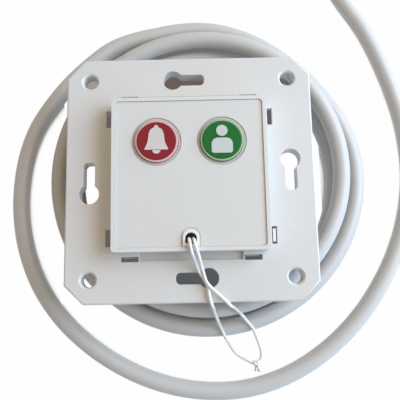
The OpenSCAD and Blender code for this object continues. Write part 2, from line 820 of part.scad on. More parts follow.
// Bell: a knob on a dome with a flared skirt, and a clapper below a narrow gap. The shares
// are of its width, from the middle, and of its height, from the clapper's lower edge.
bell_rise = 0.4;
bell_knob_share = 0.09;
bell_clapper_share = 0.18;
bell_gap_share = 0.02;
bell_side_shares = [
    [0.5, 0.14], [0.5, 0.17], [0.44, 0.27], [0.38, 0.39], [0.345, 0.52], [0.325, 0.68],
    [0.29, 0.78], [0.225, 0.86], [0.13, 0.91]
];
module call_bell_picture() {
    knob_r = bell_w * bell_knob_share;
    clapper_r = bell_w * bell_clapper_share;
    low_y = bell_rise - bell_h / 2;
    clapper_top_y = low_y + bell_h * (bell_side_shares[0][1] - bell_gap_share);
    last = len(bell_side_shares) - 1;
    color([0.96, 0.93, 0.93])
    call_side() {
        linear_extrude_from(disc_z, picture_t)
            polygon(concat(
                [for (p = bell_side_shares) [p[0] * bell_w, low_y + p[1] * bell_h]],
                [for (i = [last : -1 : 0])
                    [-bell_side_shares[i][0] * bell_w, low_y + bell_side_shares[i][1] * bell_h]]));
        disc(2 * knob_r, disc_z, disc_z + picture_t, 0, low_y + bell_h - knob_r);
        intersection() {
            disc(2 * clapper_r, disc_z, disc_z + picture_t, 0, low_y + clapper_r);
            block(-bell_w, bell_w, low_y - over, clapper_top_y, disc_z, disc_z + picture_t);
        }
    }
}

module linear_extrude_from(low_z, height) {
    translate([0, 0, low_z]) linear_extrude(height) children();
}

// Figure: a round head above a body with wide round shoulders and small round lower corners
figure_rise = 0.15;
figure_head_share = 0.4;
figure_body_share = 0.54;
figure_shoulder_share = 0.3;
figure_corner_share = 0.12;
module presence_figure_picture() {
    head_d = figure_h * figure_head_share;
    low_y = figure_rise - figure_h / 2;
    body_top_y = low_y + figure_h * figure_body_share;
    shoulder_r = figure_w * figure_shoulder_share;
    corner_r = figure_w * figure_corner_share;
    color([0.93, 0.96, 0.93])
    presence_side() {
        disc(head_d, disc_z, disc_z + picture_t, 0, low_y + figure_h - head_d / 2);
        block(-figure_w / 2, figure_w / 2, low_y + corner_r, body_top_y - shoulder_r,
              disc_z, disc_z + picture_t);
        block(-figure_w / 2 + shoulder_r, figure_w / 2 - shoulder_r, low_y, body_top_y,
              disc_z, disc_z + picture_t);
        block(-figure_w / 2 + corner_r, figure_w / 2 - corner_r, low_y, low_y + corner_r,
              disc_z, disc_z + picture_t);
        for (side = [-1, 1]) {
            disc(2 * shoulder_r, disc_z, disc_z + picture_t,
                 side * (figure_w / 2 - shoulder_r), body_top_y - shoulder_r);
            disc(2 * corner_r, disc_z, disc_z + picture_t,
                 side * (figure_w / 2 - corner_r), low_y + corner_r);
        }
    }
}

module circuit_board() {
    color([0.1, 0.36, 0.2])
    difference() {
        square_block(board_half, board_z, board_top_z);
        at_four(boss_at) disc(boss_d + 2 * notch_gap, board_z - over, board_top_z + over);
        at_four(board_half) square_block(boss_inset, board_z - over, board_top_z + over);
        block(-cut_w / 2, cut_w / 2, -board_half - over, slider_y + cut_w / 2,
              board_z - over, board_top_z + over);
    }
}

module wire_header() {
    color([0.9, 0.9, 0.86])
    block(header_x - header_l / 2, header_x + header_l / 2,
          header_y - header_w / 2, header_y + header_w / 2, board_z - header_h, board_z);
}

module pull_switch_body() {
    front_y = micro_back_y - micro_l;
    plunger_y = pivot_y - micro_plunger_at;
    ear_x = micro_w / 2;
    color([0.13, 0.13, 0.14])
    difference() {
        union() {
            block(-micro_w / 2, micro_w / 2, front_y, micro_back_y, micro_z, board_z);
            for (side = [-1, 1])
                translate([side * (ear_x - ear_t / 2), 0, 0])
                    block(-ear_t / 2, ear_t / 2, pivot_y - ear_reach, pivot_y + ear_reach,
                          micro_z - ear_drop, micro_z + over);
        }
        translate([-ear_x - over, pivot_y, pivot_z])
            rotate([0, half_turn / 2, 0])
                cylinder(d = lever_pin_d + 2 * slide_gap, h = micro_w + 2 * over, $fn = small_fn);
        disc(micro_plunger_d + 2 * slide_gap, micro_z - over,
             micro_plunger_z + micro_plunger_l + micro_plunger_share * pull_travel + seat_gap,
             0, plunger_y);
    }
}

module pull_switch_plunger() {
    color([0.6, 0.15, 0.15])
    disc(micro_plunger_d, micro_plunger_z, micro_plunger_z + micro_plunger_l,
         0, pivot_y - micro_plunger_at);
}

module pull_switch_lever() {
    color([0.72, 0.73, 0.75])
    translate([0, pivot_y, pivot_z])
        rotate([lever_rest_deg, 0, 0]) {
            block(-lever_w / 2, lever_w / 2, -lever_l, 0, -lever_t / 2, lever_t / 2);
            translate([-micro_w / 2, 0, 0])
                rotate([0, half_turn / 2, 0])
                    cylinder(d = lever_pin_d, h = micro_w, $fn = small_fn);
        }
}

module pull_slider() {
    rod_top_z = chamber_z + seat_gap / 2;
    color([0.93, 0.93, 0.92])
    difference() {
        union() {
            disc(rod_d, slider_z, rod_top_z, 0, slider_y);
            disc(slider_flange_d, slider_z, arm_top_z, 0, slider_y);
            block(-arm_w / 2, arm_w / 2, slider_y, slider_y + arm_reach, slider_z, arm_top_z);
        }
        disc(guide_pin_d + 2 * slide_gap, slider_z - over, slider_z + slider_bore_l, 0, slider_y);
    }
}

// The spring's wire, with a flat turn at each end
spring_rings = 10;
function spring_point(turns, low_z, high_z) =
    let (
        r = (spring_d - spring_wire_d) / 2,
        share = max(0, min(1, (turns - 1) / (spring_turns - 2)))
    )
    [r * cos(full_turn * turns), slider_y + r * sin(full_turn * turns), low_z + (high_z - low_z) * share];
module return_spring() {
    low_z = arm_top_z + spring_wire_d / 2 + slide_gap;
    high_z = guide_z - spring_wire_d / 2 - slide_gap;
    steps = spring_turns * spring_rings;
    path = [for (i = [0 : steps]) spring_point(i / spring_rings, low_z, high_z)];
    color([0.75, 0.76, 0.78])
    tube(path, spring_wire_d / 2, wound_sides, [0, 1, 0], [0, 1, 0]);
}

module rear_housing() {
    gland_bore_d = gland_tip_d + 2 * slide_gap;
    color([0.87, 0.87, 0.865])
    difference() {
        union() {
            difference() {
                union() {
                    rounded_block(housing_half, housing_corner_r, 0, housing_depth);
                    rounded_block(neck_half, module_corner_r, housing_depth - flange_t, housing_depth);
                }
                square_block(cavity_half, housing_wall, housing_depth + over);
            }
            intersection() {
                at_four(boss_at) disc(boss_d, 0, housing_depth);
                square_block(housing_half, 0, housing_depth);
            }
            for (side = [-1, 1], place = [-1, 1])
                translate([side * (cavity_half - ledge_w / 2 + over / 2), place * ledge_at, 0])
                    block(-ledge_w / 2 - over / 2, ledge_w / 2 + over / 2, -ledge_l / 2, ledge_l / 2,
                          housing_wall - over, board_z);
            disc(slider_flange_d, housing_wall - over, stop_z, 0, slider_y);
            disc(guide_pin_d, housing_wall, guide_pin_z, 0, slider_y);
            block(cable_x - clamp_reach, cable_x + clamp_reach,
                  clamp_y - clamp_w / 2, clamp_y + clamp_w / 2, housing_wall - over, cable_z - seat_gap);
        }
        at_four(boss_at) {
            disc(screw_head_d + 2 * head_gap, -over, screw_recess);
            disc(screw_d + 2 * slide_gap, 0, housing_depth + over);
        }
        translate([cable_x, -housing_half - over, cable_z])
            rotate([-half_turn / 2, 0, 0])
                cylinder(d = gland_bore_d, h = housing_wall + 2 * over, $fn = round_fn);
        translate([cable_x, clamp_y - clamp_w, cable_z])
            rotate([-half_turn / 2, 0, 0])
                cylinder(d = cable_d + 2 * gland_bore_gap, h = 2 * clamp_w, $fn = round_fn);
        for (side = [-1, 1])
            disc(clamp_screw_d, cable_z - clamp_bite - clamp_screw_d, cable_z + over,
                 cable_x + side * clamp_screw_at, clamp_y);
    }
}

// One cross-headed screw, standing on its head
module screw(d, head_d, head_h, low_z, high_z) {
    difference() {
        union() {
            disc(head_d, low_z, low_z + head_h);
            disc(d, low_z, high_z);
        }
        for (turn = [0, half_turn / 2])
            rotate([0, 0, turn])
                block(-head_d / 3, head_d / 3, -screw_slot_w / 2, screw_slot_w / 2,
                      low_z - over, low_z + screw_slot_depth);
    }
}

module housing_screws() {
    color([0.7, 0.71, 0.73])
    at_four(boss_at) screw(screw_d, screw_head_d, screw_head_h, screw_recess - screw_head_h, screw_end_z);
}

module cable_clamp() {
    bar_low_z = cable_z + seat_gap;
    bar_high_z = bar_low_z + cable_d / 2 + clamp_t - seat_gap;
    foot_z = bar_low_z + clamp_t;
    color([0.85, 0.85, 0.83])
    difference() {
        union() {
            block(cable_x - clamp_reach, cable_x + clamp_reach,
                  clamp_y - clamp_w / 2, clamp_y + clamp_w / 2, bar_low_z, foot_z);
            block(cable_x - cable_d / 2 - seat_gap, cable_x + cable_d / 2 + seat_gap,
                  clamp_y - clamp_w / 2, clamp_y + clamp_w / 2, bar_low_z, bar_high_z);
        }
        translate([cable_x, clamp_y - clamp_w, cable_z])
            rotate([-half_turn / 2, 0, 0])
                cylinder(d = cable_d + 2 * gland_bore_gap, h = 2 * clamp_w, $fn = round_fn);
        for (side = [-1, 1])
            disc(clamp_screw_d + 2 * slide_gap, bar_low_z - over, foot_z + over,
                 cable_x + side * clamp_screw_at, clamp_y);
    }
}

module clamp_screws() {
    foot_z = cable_z + seat_gap + clamp_t;
    color([0.7, 0.71, 0.73])
    for (side = [-1, 1])
        translate([cable_x + side * clamp_screw_at, clamp_y, 0]) {
            disc(clamp_head_d, foot_z, foot_z + clamp_head_h);
            disc(clamp_screw_d - 2 * slide_gap, cable_z - clamp_bite, foot_z);
        }
}

// Four cores run from the end of the sheath up to the header, the upper ones rising
// nearer the sheath. Each row has the shares of the way across, forward and up, and how
// much of the lag it takes.
core_lag_share = 0.13;
core_shares = [
    [0, 0, 0, 0], [0, 0.22, 0.02, 1], [0.25, 0.37, 0.3, 1], [0.75, 0.52, 0.7, 1],
    [1, 0.67, 0.98, 1], [1, 1, 1, 0]
];
module cable_cores() {
    header_front_y = header_y - header_w / 2;
    socket_z = board_z - header_h / 2;
    paints = [[0.8, 0.15, 0.12], [0.15, 0.15, 0.16], [0.9, 0.85, 0.3], [0.2, 0.35, 0.7]];
    for (i = [0 : core_count - 1]) {
        side_x = cable_x + core_bundle * (i < 2 ? -1 : 1);
        side_z = cable_z + core_bundle * (i % 2 == 0 ? -1 : 1);
        socket_x = header_x + core_spacing * (i - (core_count - 1) / 2);
        fan = [socket_x - side_x, header_front_y - sheath_end_y, socket_z - side_z];
        lag = core_lag_share * (i % 2 == 0 ? 1 : -1);
        route = [
            for (share = core_shares)
                [side_x + fan[0] * share[0], sheath_end_y + fan[1] * (share[1] + lag * share[3]),
                 side_z + fan[2] * share[2]]
        ];
        color(paints[i]) tube(route, core_d / 2, free_sides, [0, 1, 0], [0, 1, 0]);
    }
}

module cable_gland() {
    color([0.74, 0.74, 0.73])
    translate([cable_x, -housing_half, cable_z])
        rotate([half_turn / 2, 0, 0])
            difference() {
                union() {
                    cylinder(d1 = gland_d, d2 = gland_tip_d, h = gland_l, $fn = round_fn);
                    translate([0, 0, -housing_wall])
                        cylinder(d = gland_tip_d, h = housing_wall, $fn = round_fn);
                    translate([0, 0, -housing_wall - gland_flange_t])
                        cylinder(d = gland_flange_d, h = gland_flange_t, $fn = round_fn);
                }
                translate([0, 0, -housing_wall - gland_flange_t - over])
                    cylinder(d = cable_d + 2 * gland_bore_gap,
                             h = gland_l + housing_wall + gland_flange_t + 2 * over, $fn = round_fn);
            }
}

cable_paint = [0.74, 0.74, 0.735];
module cable_lead() {
    color(cable_paint)
    tube(lead_route, cable_d / 2, free_sides, [0, -1, 0], heading(coil_start));
}

module cable_coil() {
    color(cable_paint)
    tube(coil_path, cable_d / 2, wound_sides, heading(coil_start), heading(coil_end));
}

module cable_loop() {
    color(cable_paint)
    tube(loop_route, cable_d / 2, free_sides, heading(coil_end), heading(spare_start));
}

module spare_coil() {
    color(cable_paint)
    tube(spare_path, cable_d / 2, wound_sides, heading(spare_start), heading(spare_end));
}

module cable_tail() {
    color(cable_paint)
    tube(tail_route, cable_d / 2, free_sides, heading(spare_end), heading(plug_heading - half_turn / 2));
}

module pull_cord() {
    color([0.84, 0.84, 0.84])
    tube(pull_route, cord_d / 2, free_sides, [0, 0, 1], [0, 0, -1]);
}

module cord_knot() {
    color([0.84, 0.84, 0.84])
    translate(knot_at) {
        sphere(d = knot_d, $fn = small_fn);
        for (turn = knot_tail_turns)
            rotate([0, half_turn / 2 + knot_tail_droop, turn])
                cylinder(d = cord_d, h = knot_d / 2 + knot_tail_l, $fn = small_fn);
    }
}

// The plug lies along its own +X, with its boot's end at the origin
module plug_frame() {
    translate([plug_at[0], plug_at[1], 0]) rotate([0, 0, plug_heading]) children();
}

module along_x(low_x, high_x, d_low, d_high) {
    translate([low_x, 0, plug_h / 2]) rotate([0, half_turn / 2, 0])
        cylinder(d1 = d_low, d2 = d_high, h = high_x - low_x, $fn = round_fn);
}

module plug_boot() {
    color([0.45, 0.46, 0.47])
    plug_frame() {
        along_x(0, boot_l, boot_tip_d, boot_d);
        along_x(boot_l, boot_l + boot_in, boot_stub_d, boot_stub_d);
    }
}

module plug_body() {
    front_x = boot_l + plug_l;
    contact_x = front_x - contact_inset - contact_l;
    color([0.8, 0.83, 0.85])
    plug_frame()
        difference() {
            union() {
                block(boot_l, front_x, -plug_w / 2, plug_w / 2, 0, plug_h - plug_edge);
                block(boot_l, front_x, -plug_w / 2 + plug_edge, plug_w / 2 - plug_edge, 0, plug_h);
            }
            along_x(boot_l - over, boot_l + boot_in + slide_gap,
                    boot_stub_d + 2 * slide_gap, boot_stub_d + 2 * slide_gap);
            for (i = [0 : contact_count - 1])
                translate([0, contact_pitch * (i - (contact_count - 1) / 2), 0])
                    block(contact_x - slide_gap, front_x + over, -contact_slot_w / 2, contact_slot_w / 2,
                          -over, contact_h + slide_gap);
        }
}

module plug_contacts() {
    contact_x = boot_l + plug_l - contact_inset - contact_l;
    color([0.83, 0.68, 0.3])
    plug_frame()
        for (i = [0 : contact_count - 1])
            translate([0, contact_pitch * (i - (contact_count - 1) / 2), 0])
                block(contact_x, contact_x + contact_l, -contact_w / 2, contact_w / 2,
                      contact_proud, contact_h);
}

// The latch is a sprung tongue on a post near the plug's nose
module plug_latch() {
    post_x = boot_l + plug_l - latch_root;
    color([0.8, 0.83, 0.85])
    plug_frame() {
        block(post_x - latch_post_l, post_x, -latch_w / 2, latch_w / 2,
              plug_h + latch_gap, plug_h + latch_lift + latch_t);
        block(post_x - latch_l, post_x, -latch_w / 2, latch_w / 2,
              plug_h + latch_lift, plug_h + latch_lift + latch_t);
    }
}

mounting_frame();
front_bezel();
face_label();
cord_eyelet();
call_light_ring();
presence_light_ring();
call_button_cap();
call_button_disc();
call_bell_picture();
presence_button_cap();
presence_button_disc();
presence_figure_picture();
call_switch_body();
call_switch_plunger();
presence_switch_body();
presence_switch_plunger();
call_leds();
presence_leds();
circuit_board();
wire_header();
pull_switch_body();
pull_switch_plunger();
pull_switch_lever();
pull_slider();
return_spring();
rear_housing();
housing_screws();
cable_clamp();
clamp_screws();
cable_cores();
cable_gland();
pull_cord();
cord_knot();
cable_lead();
cable_coil();
cable_loop();
spare_coil();
cable_tail();
plug_boot();
plug_body();
plug_contacts();
plug_latch();
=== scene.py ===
# %% [markdown]
# A nurse call button lies on its back on a white table: a square mounting frame with a small module in it,
# two round push buttons, a pull cord and a coil of cable below.

# %% Load the frame
import bmesh
import bpy
import json
import math
from mathutils import Matrix, Vector


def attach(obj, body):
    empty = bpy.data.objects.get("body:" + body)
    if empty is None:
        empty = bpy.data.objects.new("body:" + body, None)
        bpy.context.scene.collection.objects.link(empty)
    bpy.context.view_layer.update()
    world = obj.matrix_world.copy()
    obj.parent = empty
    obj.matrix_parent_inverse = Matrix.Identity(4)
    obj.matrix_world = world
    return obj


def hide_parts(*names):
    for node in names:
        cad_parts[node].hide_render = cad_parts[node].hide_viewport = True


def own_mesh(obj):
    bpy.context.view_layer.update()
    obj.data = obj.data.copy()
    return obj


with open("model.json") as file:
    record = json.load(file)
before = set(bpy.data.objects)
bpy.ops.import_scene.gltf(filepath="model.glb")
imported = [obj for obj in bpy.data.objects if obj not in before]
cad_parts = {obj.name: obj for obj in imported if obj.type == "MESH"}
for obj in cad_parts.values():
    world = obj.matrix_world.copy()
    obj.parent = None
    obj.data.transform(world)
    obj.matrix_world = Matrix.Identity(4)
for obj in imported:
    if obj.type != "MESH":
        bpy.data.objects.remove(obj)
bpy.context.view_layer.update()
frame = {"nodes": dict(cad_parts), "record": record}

# %% [markdown]
# Blender works in metres, and a hand-sized object is drawn in millimetres, so one value turns one into the
# other. One look-up says which body each solid rides on in the parts record.

# %% Units and a look-up
MM = 0.001
record = frame["record"]
body_of_node = {node: body for body, nodes in record["behaviour"]["bodies"].items() for node in nodes}


def in_mm(*points):
    """Points given in millimetres, as vectors in metres."""
    return [MM * Vector(point) for point in points]


# %% [markdown]
# The photograph was taken from almost straight above, from about 18 cm. A camera can be
# aimed with a constraint, but here its axes are written out from three angles, because
# the small roll matters as much as the direction. Blender's camera looks along its own
# negative Z. The lens, the sensor and the place are in millimetres, as on a real camera.

# %% Camera
CAMERA_AT = (2.79, -32.98, 179.31)
LENS, SENSOR, NEAREST = 48.15, 36, 5
view_turn, view_height, view_roll = (math.radians(angle) for angle in (0.071, 80.584, -1.26))
backward = Vector((
    math.sin(view_turn) * math.cos(view_height),
    -math.cos(view_turn) * math.cos(view_height),
    math.sin(view_height),
))
level_right = (-backward).cross(Vector((0, 0, 1))).normalized()
level_up = level_right.cross(-backward)
right = math.cos(view_roll) * level_right + math.sin(view_roll) * level_up
up = -math.sin(view_roll) * level_right + math.cos(view_roll) * level_up

camera_data = bpy.data.cameras.new("camera")
camera_data.lens = LENS
camera_data.sensor_width = SENSOR
camera_data.clip_start = NEAREST * MM
camera = bpy.data.objects.new("camera", camera_data)
aim = Matrix((right, up, backward)).transposed().to_4x4()
camera.matrix_world = Matrix.Translation(MM * Vector(CAMERA_AT)) @ aim
bpy.context.scene.collection.objects.link(camera)
bpy.context.scene.camera = camera
print("camera at", tuple(camera.matrix_world.translation))

# %% [markdown]
# A cable is a round section carried along a smooth line. The line is given by a few listed points, and a
# cubic between each two takes its slope from their neighbours, weighted by distance, so that close and far
# points join without a bulge.

# %% Smooth lines
def smooth_line(points, spacing):
    """A smooth line through the points, with a point about every spacing."""
    last = len(points) - 1
    slopes = []
    for i, point in enumerate(points):
        come = point - points[max(i - 1, 0)]
        go = points[min(i + 1, last)] - point
        if i in (0, last):
            slopes.append((come + go).normalized())
        else:
            slopes.append((come.normalized() * go.length + go.normalized() * come.length)
                          / (come.length + go.length))
    line = []
    for a, b, slope_a, slope_b in zip(points, points[1:], slopes, slopes[1:]):
        chord = (b - a).length
        steps = max(1, round(chord / spacing))
        for i in range(steps):
            t = i / steps
            line.append(a * (2 * t**3 - 3 * t**2 + 1) + b * (3 * t**2 - 2 * t**3)
                        + chord * slope_a * (t**3 - 2 * t**2 + t) + chord * slope_b * (t**3 - t**2))
    return line + [points[-1]]


# %% [markdown]
# The tube is built ring by ring. Each ring's first direction is the last one's, turned
# as little as possible, so the skin never twists. The skin carries a map, which streaks or
# fibres can be drawn from: the share of a turn round it, and the metres along it.

# %% Tubes
def tube_into(shape, line, radius_at, sides, slot_number=0):
    """Adds a closed tube along the line; radius_at(distance, turn) is its radius there."""
    chart = shape.loops.layers.uv.verify()
    rings, distances, distance = [], [], 0.0
    side = None
    for i, point in enumerate(line):
        way = (line[min(i + 1, len(line) - 1)] - line[max(i - 1, 0)]).normalized()
        side = way.orthogonal().normalized() if side is None else (side - side.dot(way) * way).normalized()
        rise = way.cross(side)
        distance += (point - line[i - 1]).length if i else 0.0
        distances.append(distance)
        ring = []
        for k in range(sides):
            turn = math.tau * k / sides
            out = math.cos(turn) * side + math.sin(turn) * rise
            ring.append(shape.verts.new(point + radius_at(distance, turn) * out))
        rings.append(ring)
    for i, (low, high) in enumerate(zip(rings, rings[1:])):
        for k in range(sides):
            n = (k + 1) % sides
            face = shape.faces.new((low[k], low[n], high[n], high[k]))
            face.smooth = True
            face.material_index = slot_number
            corners = ((k, i), (k + 1, i), (k + 1, i + 1), (k, i + 1))
            for loop, (around, along) in zip(face.loops, corners):
                loop[chart].uv = (around / sides, distances[along])
    for ring in (rings[0][::-1], rings[-1]):
        face = shape.faces.new(ring)
        face.material_index = slot_number


# %% [markdown]
# Each piece is a mesh in the same place as the solids. It rides on one of their bodies, so that it moves
# with the joints, and it takes the finishes that it is given.

# %% Pieces
def piece_from(shape, name, body, materials):
    """Ends a mesh and makes it a piece that rides on a body."""
    mesh = bpy.data.meshes.new(name)
    shape.to_mesh(mesh)
    shape.free()
    for material in materials:
        mesh.materials.append(material)
    piece = bpy.data.objects.new(name, mesh)
    bpy.context.scene.collection.objects.link(piece)
    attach(piece, body)
    print(name, len(mesh.polygons), "faces")
    return piece


# %% [markdown]
# Colours are written as they are picked on a screen, in sRGB hex, and shaders work in
# linear light, so one function turns one into the other.

# %% Colours
def linear(code):
    """An sRGB hex colour as linear red, green, blue and alpha."""
    parts = [int(code[i:i + 2], 16) / 255 for i in (0, 2, 4)]
    return [p / 12.92 if p <= 0.04045 else ((p + 0.055) / 1.055) ** 2.4 for p in parts] + [1.0]


print("middle grey 808080 is", round(linear("808080")[0], 3), "in linear light")

# %% [markdown]
# One function adds a shader node: a plain value is set on its input, and another node's
# output is linked to it. Another links such outputs to a node that is there already, and
# a third starts a material, whose patterns are placed by the object's own coordinates.

# %% Shader nodes
def add(tree, kind, out=None, settings=None, **inputs):
    """Adds a node and gives its output out, or the node itself.

    An input's name has _ for a space, and _ with a number counts the inputs from 0.
    """
    node = tree.nodes.new("ShaderNode" + kind)
    for name, value in (settings or {}).items():
        setattr(node, name, value)
    for name, value in inputs.items():
        socket = node.inputs[int(name[1:])] if name[1:].isdigit() else node.inputs[name.replace("_", " ")]
        if isinstance(value, bpy.types.NodeSocket):
            tree.links.new(value, socket)
        else:
            socket.default_value = value
    return node if out is None else node.outputs[out]


def connect(tree, node, **sources):
    """Links outputs of other nodes to a node's inputs, which are named as above."""
    for name, source in sources.items():
        tree.links.new(source, node.inputs[name.replace("_", " ")])


def material_of(name, **sockets):
    """A new material: its tree, its main shader and where a point is, in metres."""
    material = bpy.data.materials.new(name)
    material.use_nodes = True
    tree = material.node_tree
    shader = tree.nodes["Principled BSDF"]
    for socket, value in sockets.items():
        shader.inputs[socket.replace("_", " ")].default_value = value
    print("material:", name)
    return material, tree, shader, add(tree, "TexCoord", "Object")


# Settings that several nodes share
COLOURS = {"data_type": "RGBA"}
TIMES = {"operation": "MULTIPLY"}
HIGHEST = {"operation": "MAXIMUM"}


# %% [markdown]
# Most of the unit is injection moulded plastic. The mould's steel is spark eroded, which
# leaves grains of 0.1 to 0.3 mm, and that breaks up the gloss. Wide soft patches stand
# for dust and handling. The grain is drawn as fine as the real one, so it shows only
# from near by.

# %% Moulded plastics
HANDLING_PATCH = 14 * MM
HANDLED_GLOSS = 0.06


def moulded(name, code, handled_code, roughness, grain_mm, grain_depth_mm, **sockets):
    """Moulded plastic that is code where clean and handled_code where it was touched."""
    material, tree, shader, place = material_of(name, **sockets)
    patches = add(tree, "TexNoise", "Fac", Vector=place, Scale=1 / HANDLING_PATCH, Detail=3)
    grain = add(tree, "TexNoise", "Fac", Vector=place, Scale=1 / (grain_mm * MM), Detail=1)
    connect(tree, shader,
            Base_Color=add(tree, "Mix", 2, COLOURS, _0=patches, _6=linear(code), _7=linear(handled_code)),
            Roughness=add(tree, "MapRange", "Result", Value=patches,
                          To_Min=roughness - HANDLED_GLOSS, To_Max=roughness + HANDLED_GLOSS),
            Normal=add(tree, "Bump", "Normal", Height=grain, Distance=grain_depth_mm * MM))
    return material


# Acrylonitrile butadiene styrene: IOR 1.54, a dull satin from the eroded mould
frame_abs = moulded("eroded white ABS", "D8D7D7", "D0CFCE", 0.46, 0.28, 0.012, IOR=1.54)
module_abs = moulded("satin white ABS", "DCDBDA", "D5D4D3", 0.36, 0.2, 0.006, IOR=1.54)
housing_abs = moulded("plain white ABS", "D6D7D8", "CDCDCC", 0.5, 0.3, 0.015, IOR=1.54)
# Polyoxymethylene, or acetal: slippery, slightly waxy, IOR 1.48
eyelet_acetal = moulded("polished white acetal", "ECEDEE", "E4E4E4", 0.22, 0.5, 0.002, IOR=1.48)
slider_acetal = moulded("white acetal", "E8E8E6", "DEDEDA", 0.34, 0.4, 0.004, IOR=1.48)
# Polyamide, or nylon: IOR 1.53, duller, its black is never quite black
switch_nylon = moulded("black nylon", "232324", "2C2C2D", 0.48, 0.2, 0.008, IOR=1.53)
header_nylon = moulded("natural nylon", "E4E1D6", "D9D4C6", 0.45, 0.3, 0.006, IOR=1.53)
plunger_nylon = moulded("cream nylon", "C9C1AE", "BEB5A0", 0.42, 0.25, 0.005, IOR=1.53)
clamp_nylon = moulded("grey-white nylon", "D6D6D2", "CBCBC5", 0.47, 0.3, 0.01, IOR=1.53)
# Polybutylene terephthalate, which small switches are moulded from
microswitch_pbt = moulded("black PBT", "1B1B1C", "262627", 0.4, 0.18, 0.006, IOR=1.57)
microswitch_red = moulded("red PBT", "9A2A26", "8C2420", 0.4, 0.18, 0.004, IOR=1.57)

# %% [markdown]
# The label is a thin polycarbonate film, printed on its back and matt on its front, so it
# has almost no grain, only a faint waviness from the glue below it. The light rings are
# frosted polycarbonate. Their lamps are off, so they look like a dull, pale grey plastic.

# %% Film and frosted rings
label_film = moulded("matt polycarbonate film", "D7D6D5", "D1D0CF", 0.42, 2.6, 0.006, IOR=1.585)
ring_frosted = moulded("frosted polycarbonate", "BDBCBB", "B3B2B0", 0.42, 0.3, 0.01, IOR=1.585)

# %% [markdown]
# The caps are opal acrylic, an almost white plastic with the colour of its disc showing
# through a little, and polished by the mould. The discs are tinted acrylic, which
# fingers have dulled, so they mirror less than new ones. The pictures on them are raised
# white ink, which is never as smooth as the plastic.

# %% Buttons
call_opal = moulded("opal acrylic, red glow", "E0B4B4", "DAAAAB", 0.16, 0.8, 0.002,
                    IOR=1.49, Coat_Weight=0.25, Coat_Roughness=0.08)
presence_opal = moulded("opal acrylic, green glow", "9BBB98", "92B28F", 0.16, 0.8, 0.002,
                        IOR=1.49, Coat_Weight=0.25, Coat_Roughness=0.08)
red_acrylic = moulded("red acrylic", "8C242E", "82202A", 0.26, 0.9, 0.002,
                      IOR=1.49, Specular_IOR_Level=0.2)
green_acrylic = moulded("green acrylic", "1E6C2F", "1A622A", 0.26, 0.9, 0.002,
                        IOR=1.49, Specular_IOR_Level=0.2)
bell_ink = moulded("screen-printed white ink over red", "D3CECA", "CAC4C1", 0.5, 0.12, 0.01, IOR=1.5)
figure_ink = moulded("screen-printed white ink over green", "C9CCCC", "C1C4C3", 0.5, 0.12, 0.01, IOR=1.5)

# %% [markdown]
# The cable's sheath is soft PVC, drawn out of a round die. It is a light grey with a satin
# sheen, and the die leaves faint streaks along it. The map on the tube gives the streaks
# their direction: they are long along the cable and a third of a millimetre wide, which is
# 50 to a turn.

# %% Cable sheath
STREAKS_ROUND = 50
STREAKS_PER_METRE = 12
SOILED_PATCH = 22 * MM


def sheath(name, code, streak_code, roughness):
    material, tree, shader, place = material_of(name, IOR=1.53)
    stretched = add(tree, "Mapping", "Vector", Vector=add(tree, "TexCoord", "UV"),
                    Scale=(STREAKS_ROUND, STREAKS_PER_METRE, 1))
    streaks = add(tree, "TexNoise", "Fac", Vector=stretched, Scale=1, Detail=2)
    patches = add(tree, "TexNoise", "Fac", Vector=place, Scale=1 / SOILED_PATCH, Detail=3)
    marks = add(tree, "Mix", 0, _0=0.4, _2=patches, _3=streaks)
    connect(tree, shader,
            Base_Color=add(tree, "Mix", 2, COLOURS, _0=marks, _6=linear(code), _7=linear(streak_code)),
            Roughness=add(tree, "MapRange", "Result", Value=streaks,
                          To_Min=roughness - 0.05, To_Max=roughness + 0.07),
            Normal=add(tree, "Bump", "Normal", Height=streaks, Distance=0.01 * MM))
    return material


cable_pvc = sheath("light grey PVC sheath", "C8C7C7", "BEBDBC", 0.36)

# %% [markdown]
# The pull cord is braided polyester, eight strands round a core. The braid's diamonds are
# real bumps of the tube, because the cord's edge shows against the white table. They are
# made further on, and here the fine fibres of the strands add a soft sheen.

# %% Braided cord
FIBRES_ROUND = 24
FIBRES_PER_METRE = 2400
RUBBED_PATCH = 3 * MM


def braid():
    material, tree, shader, place = material_of(
        "braided white polyester", IOR=1.55, Sheen_Weight=0.35, Sheen_Roughness=0.4)
    stretched = add(tree, "Mapping", "Vector", Vector=add(tree, "TexCoord", "UV"),
                    Scale=(FIBRES_ROUND, FIBRES_PER_METRE, 1))
    fibres = add(tree, "TexNoise", "Fac", Vector=stretched, Scale=1, Detail=2)
    patches = add(tree, "TexNoise", "Fac", Vector=place, Scale=1 / RUBBED_PATCH, Detail=3)
    connect(tree, shader,
            Base_Color=add(tree, "Mix", 2, COLOURS, _0=patches, _6=linear("F2F2F1"), _7=linear("E6E5E3")),
            Roughness=add(tree, "MapRange", "Result", Value=fibres, To_Min=0.62, To_Max=0.8),
            Normal=add(tree, "Bump", "Normal", Height=fibres, Distance=0.04 * MM))
    return material


cord_braid = braid()

# %% [markdown]
# Three kinds of metal are used. The spring's drawn steel and the lever's rolled steel are a
# plain grey with fine marks. The screws are zinc plated, which is brighter and a little
# blue, with cloudy patches. The plug's contacts are gold plated bronze.

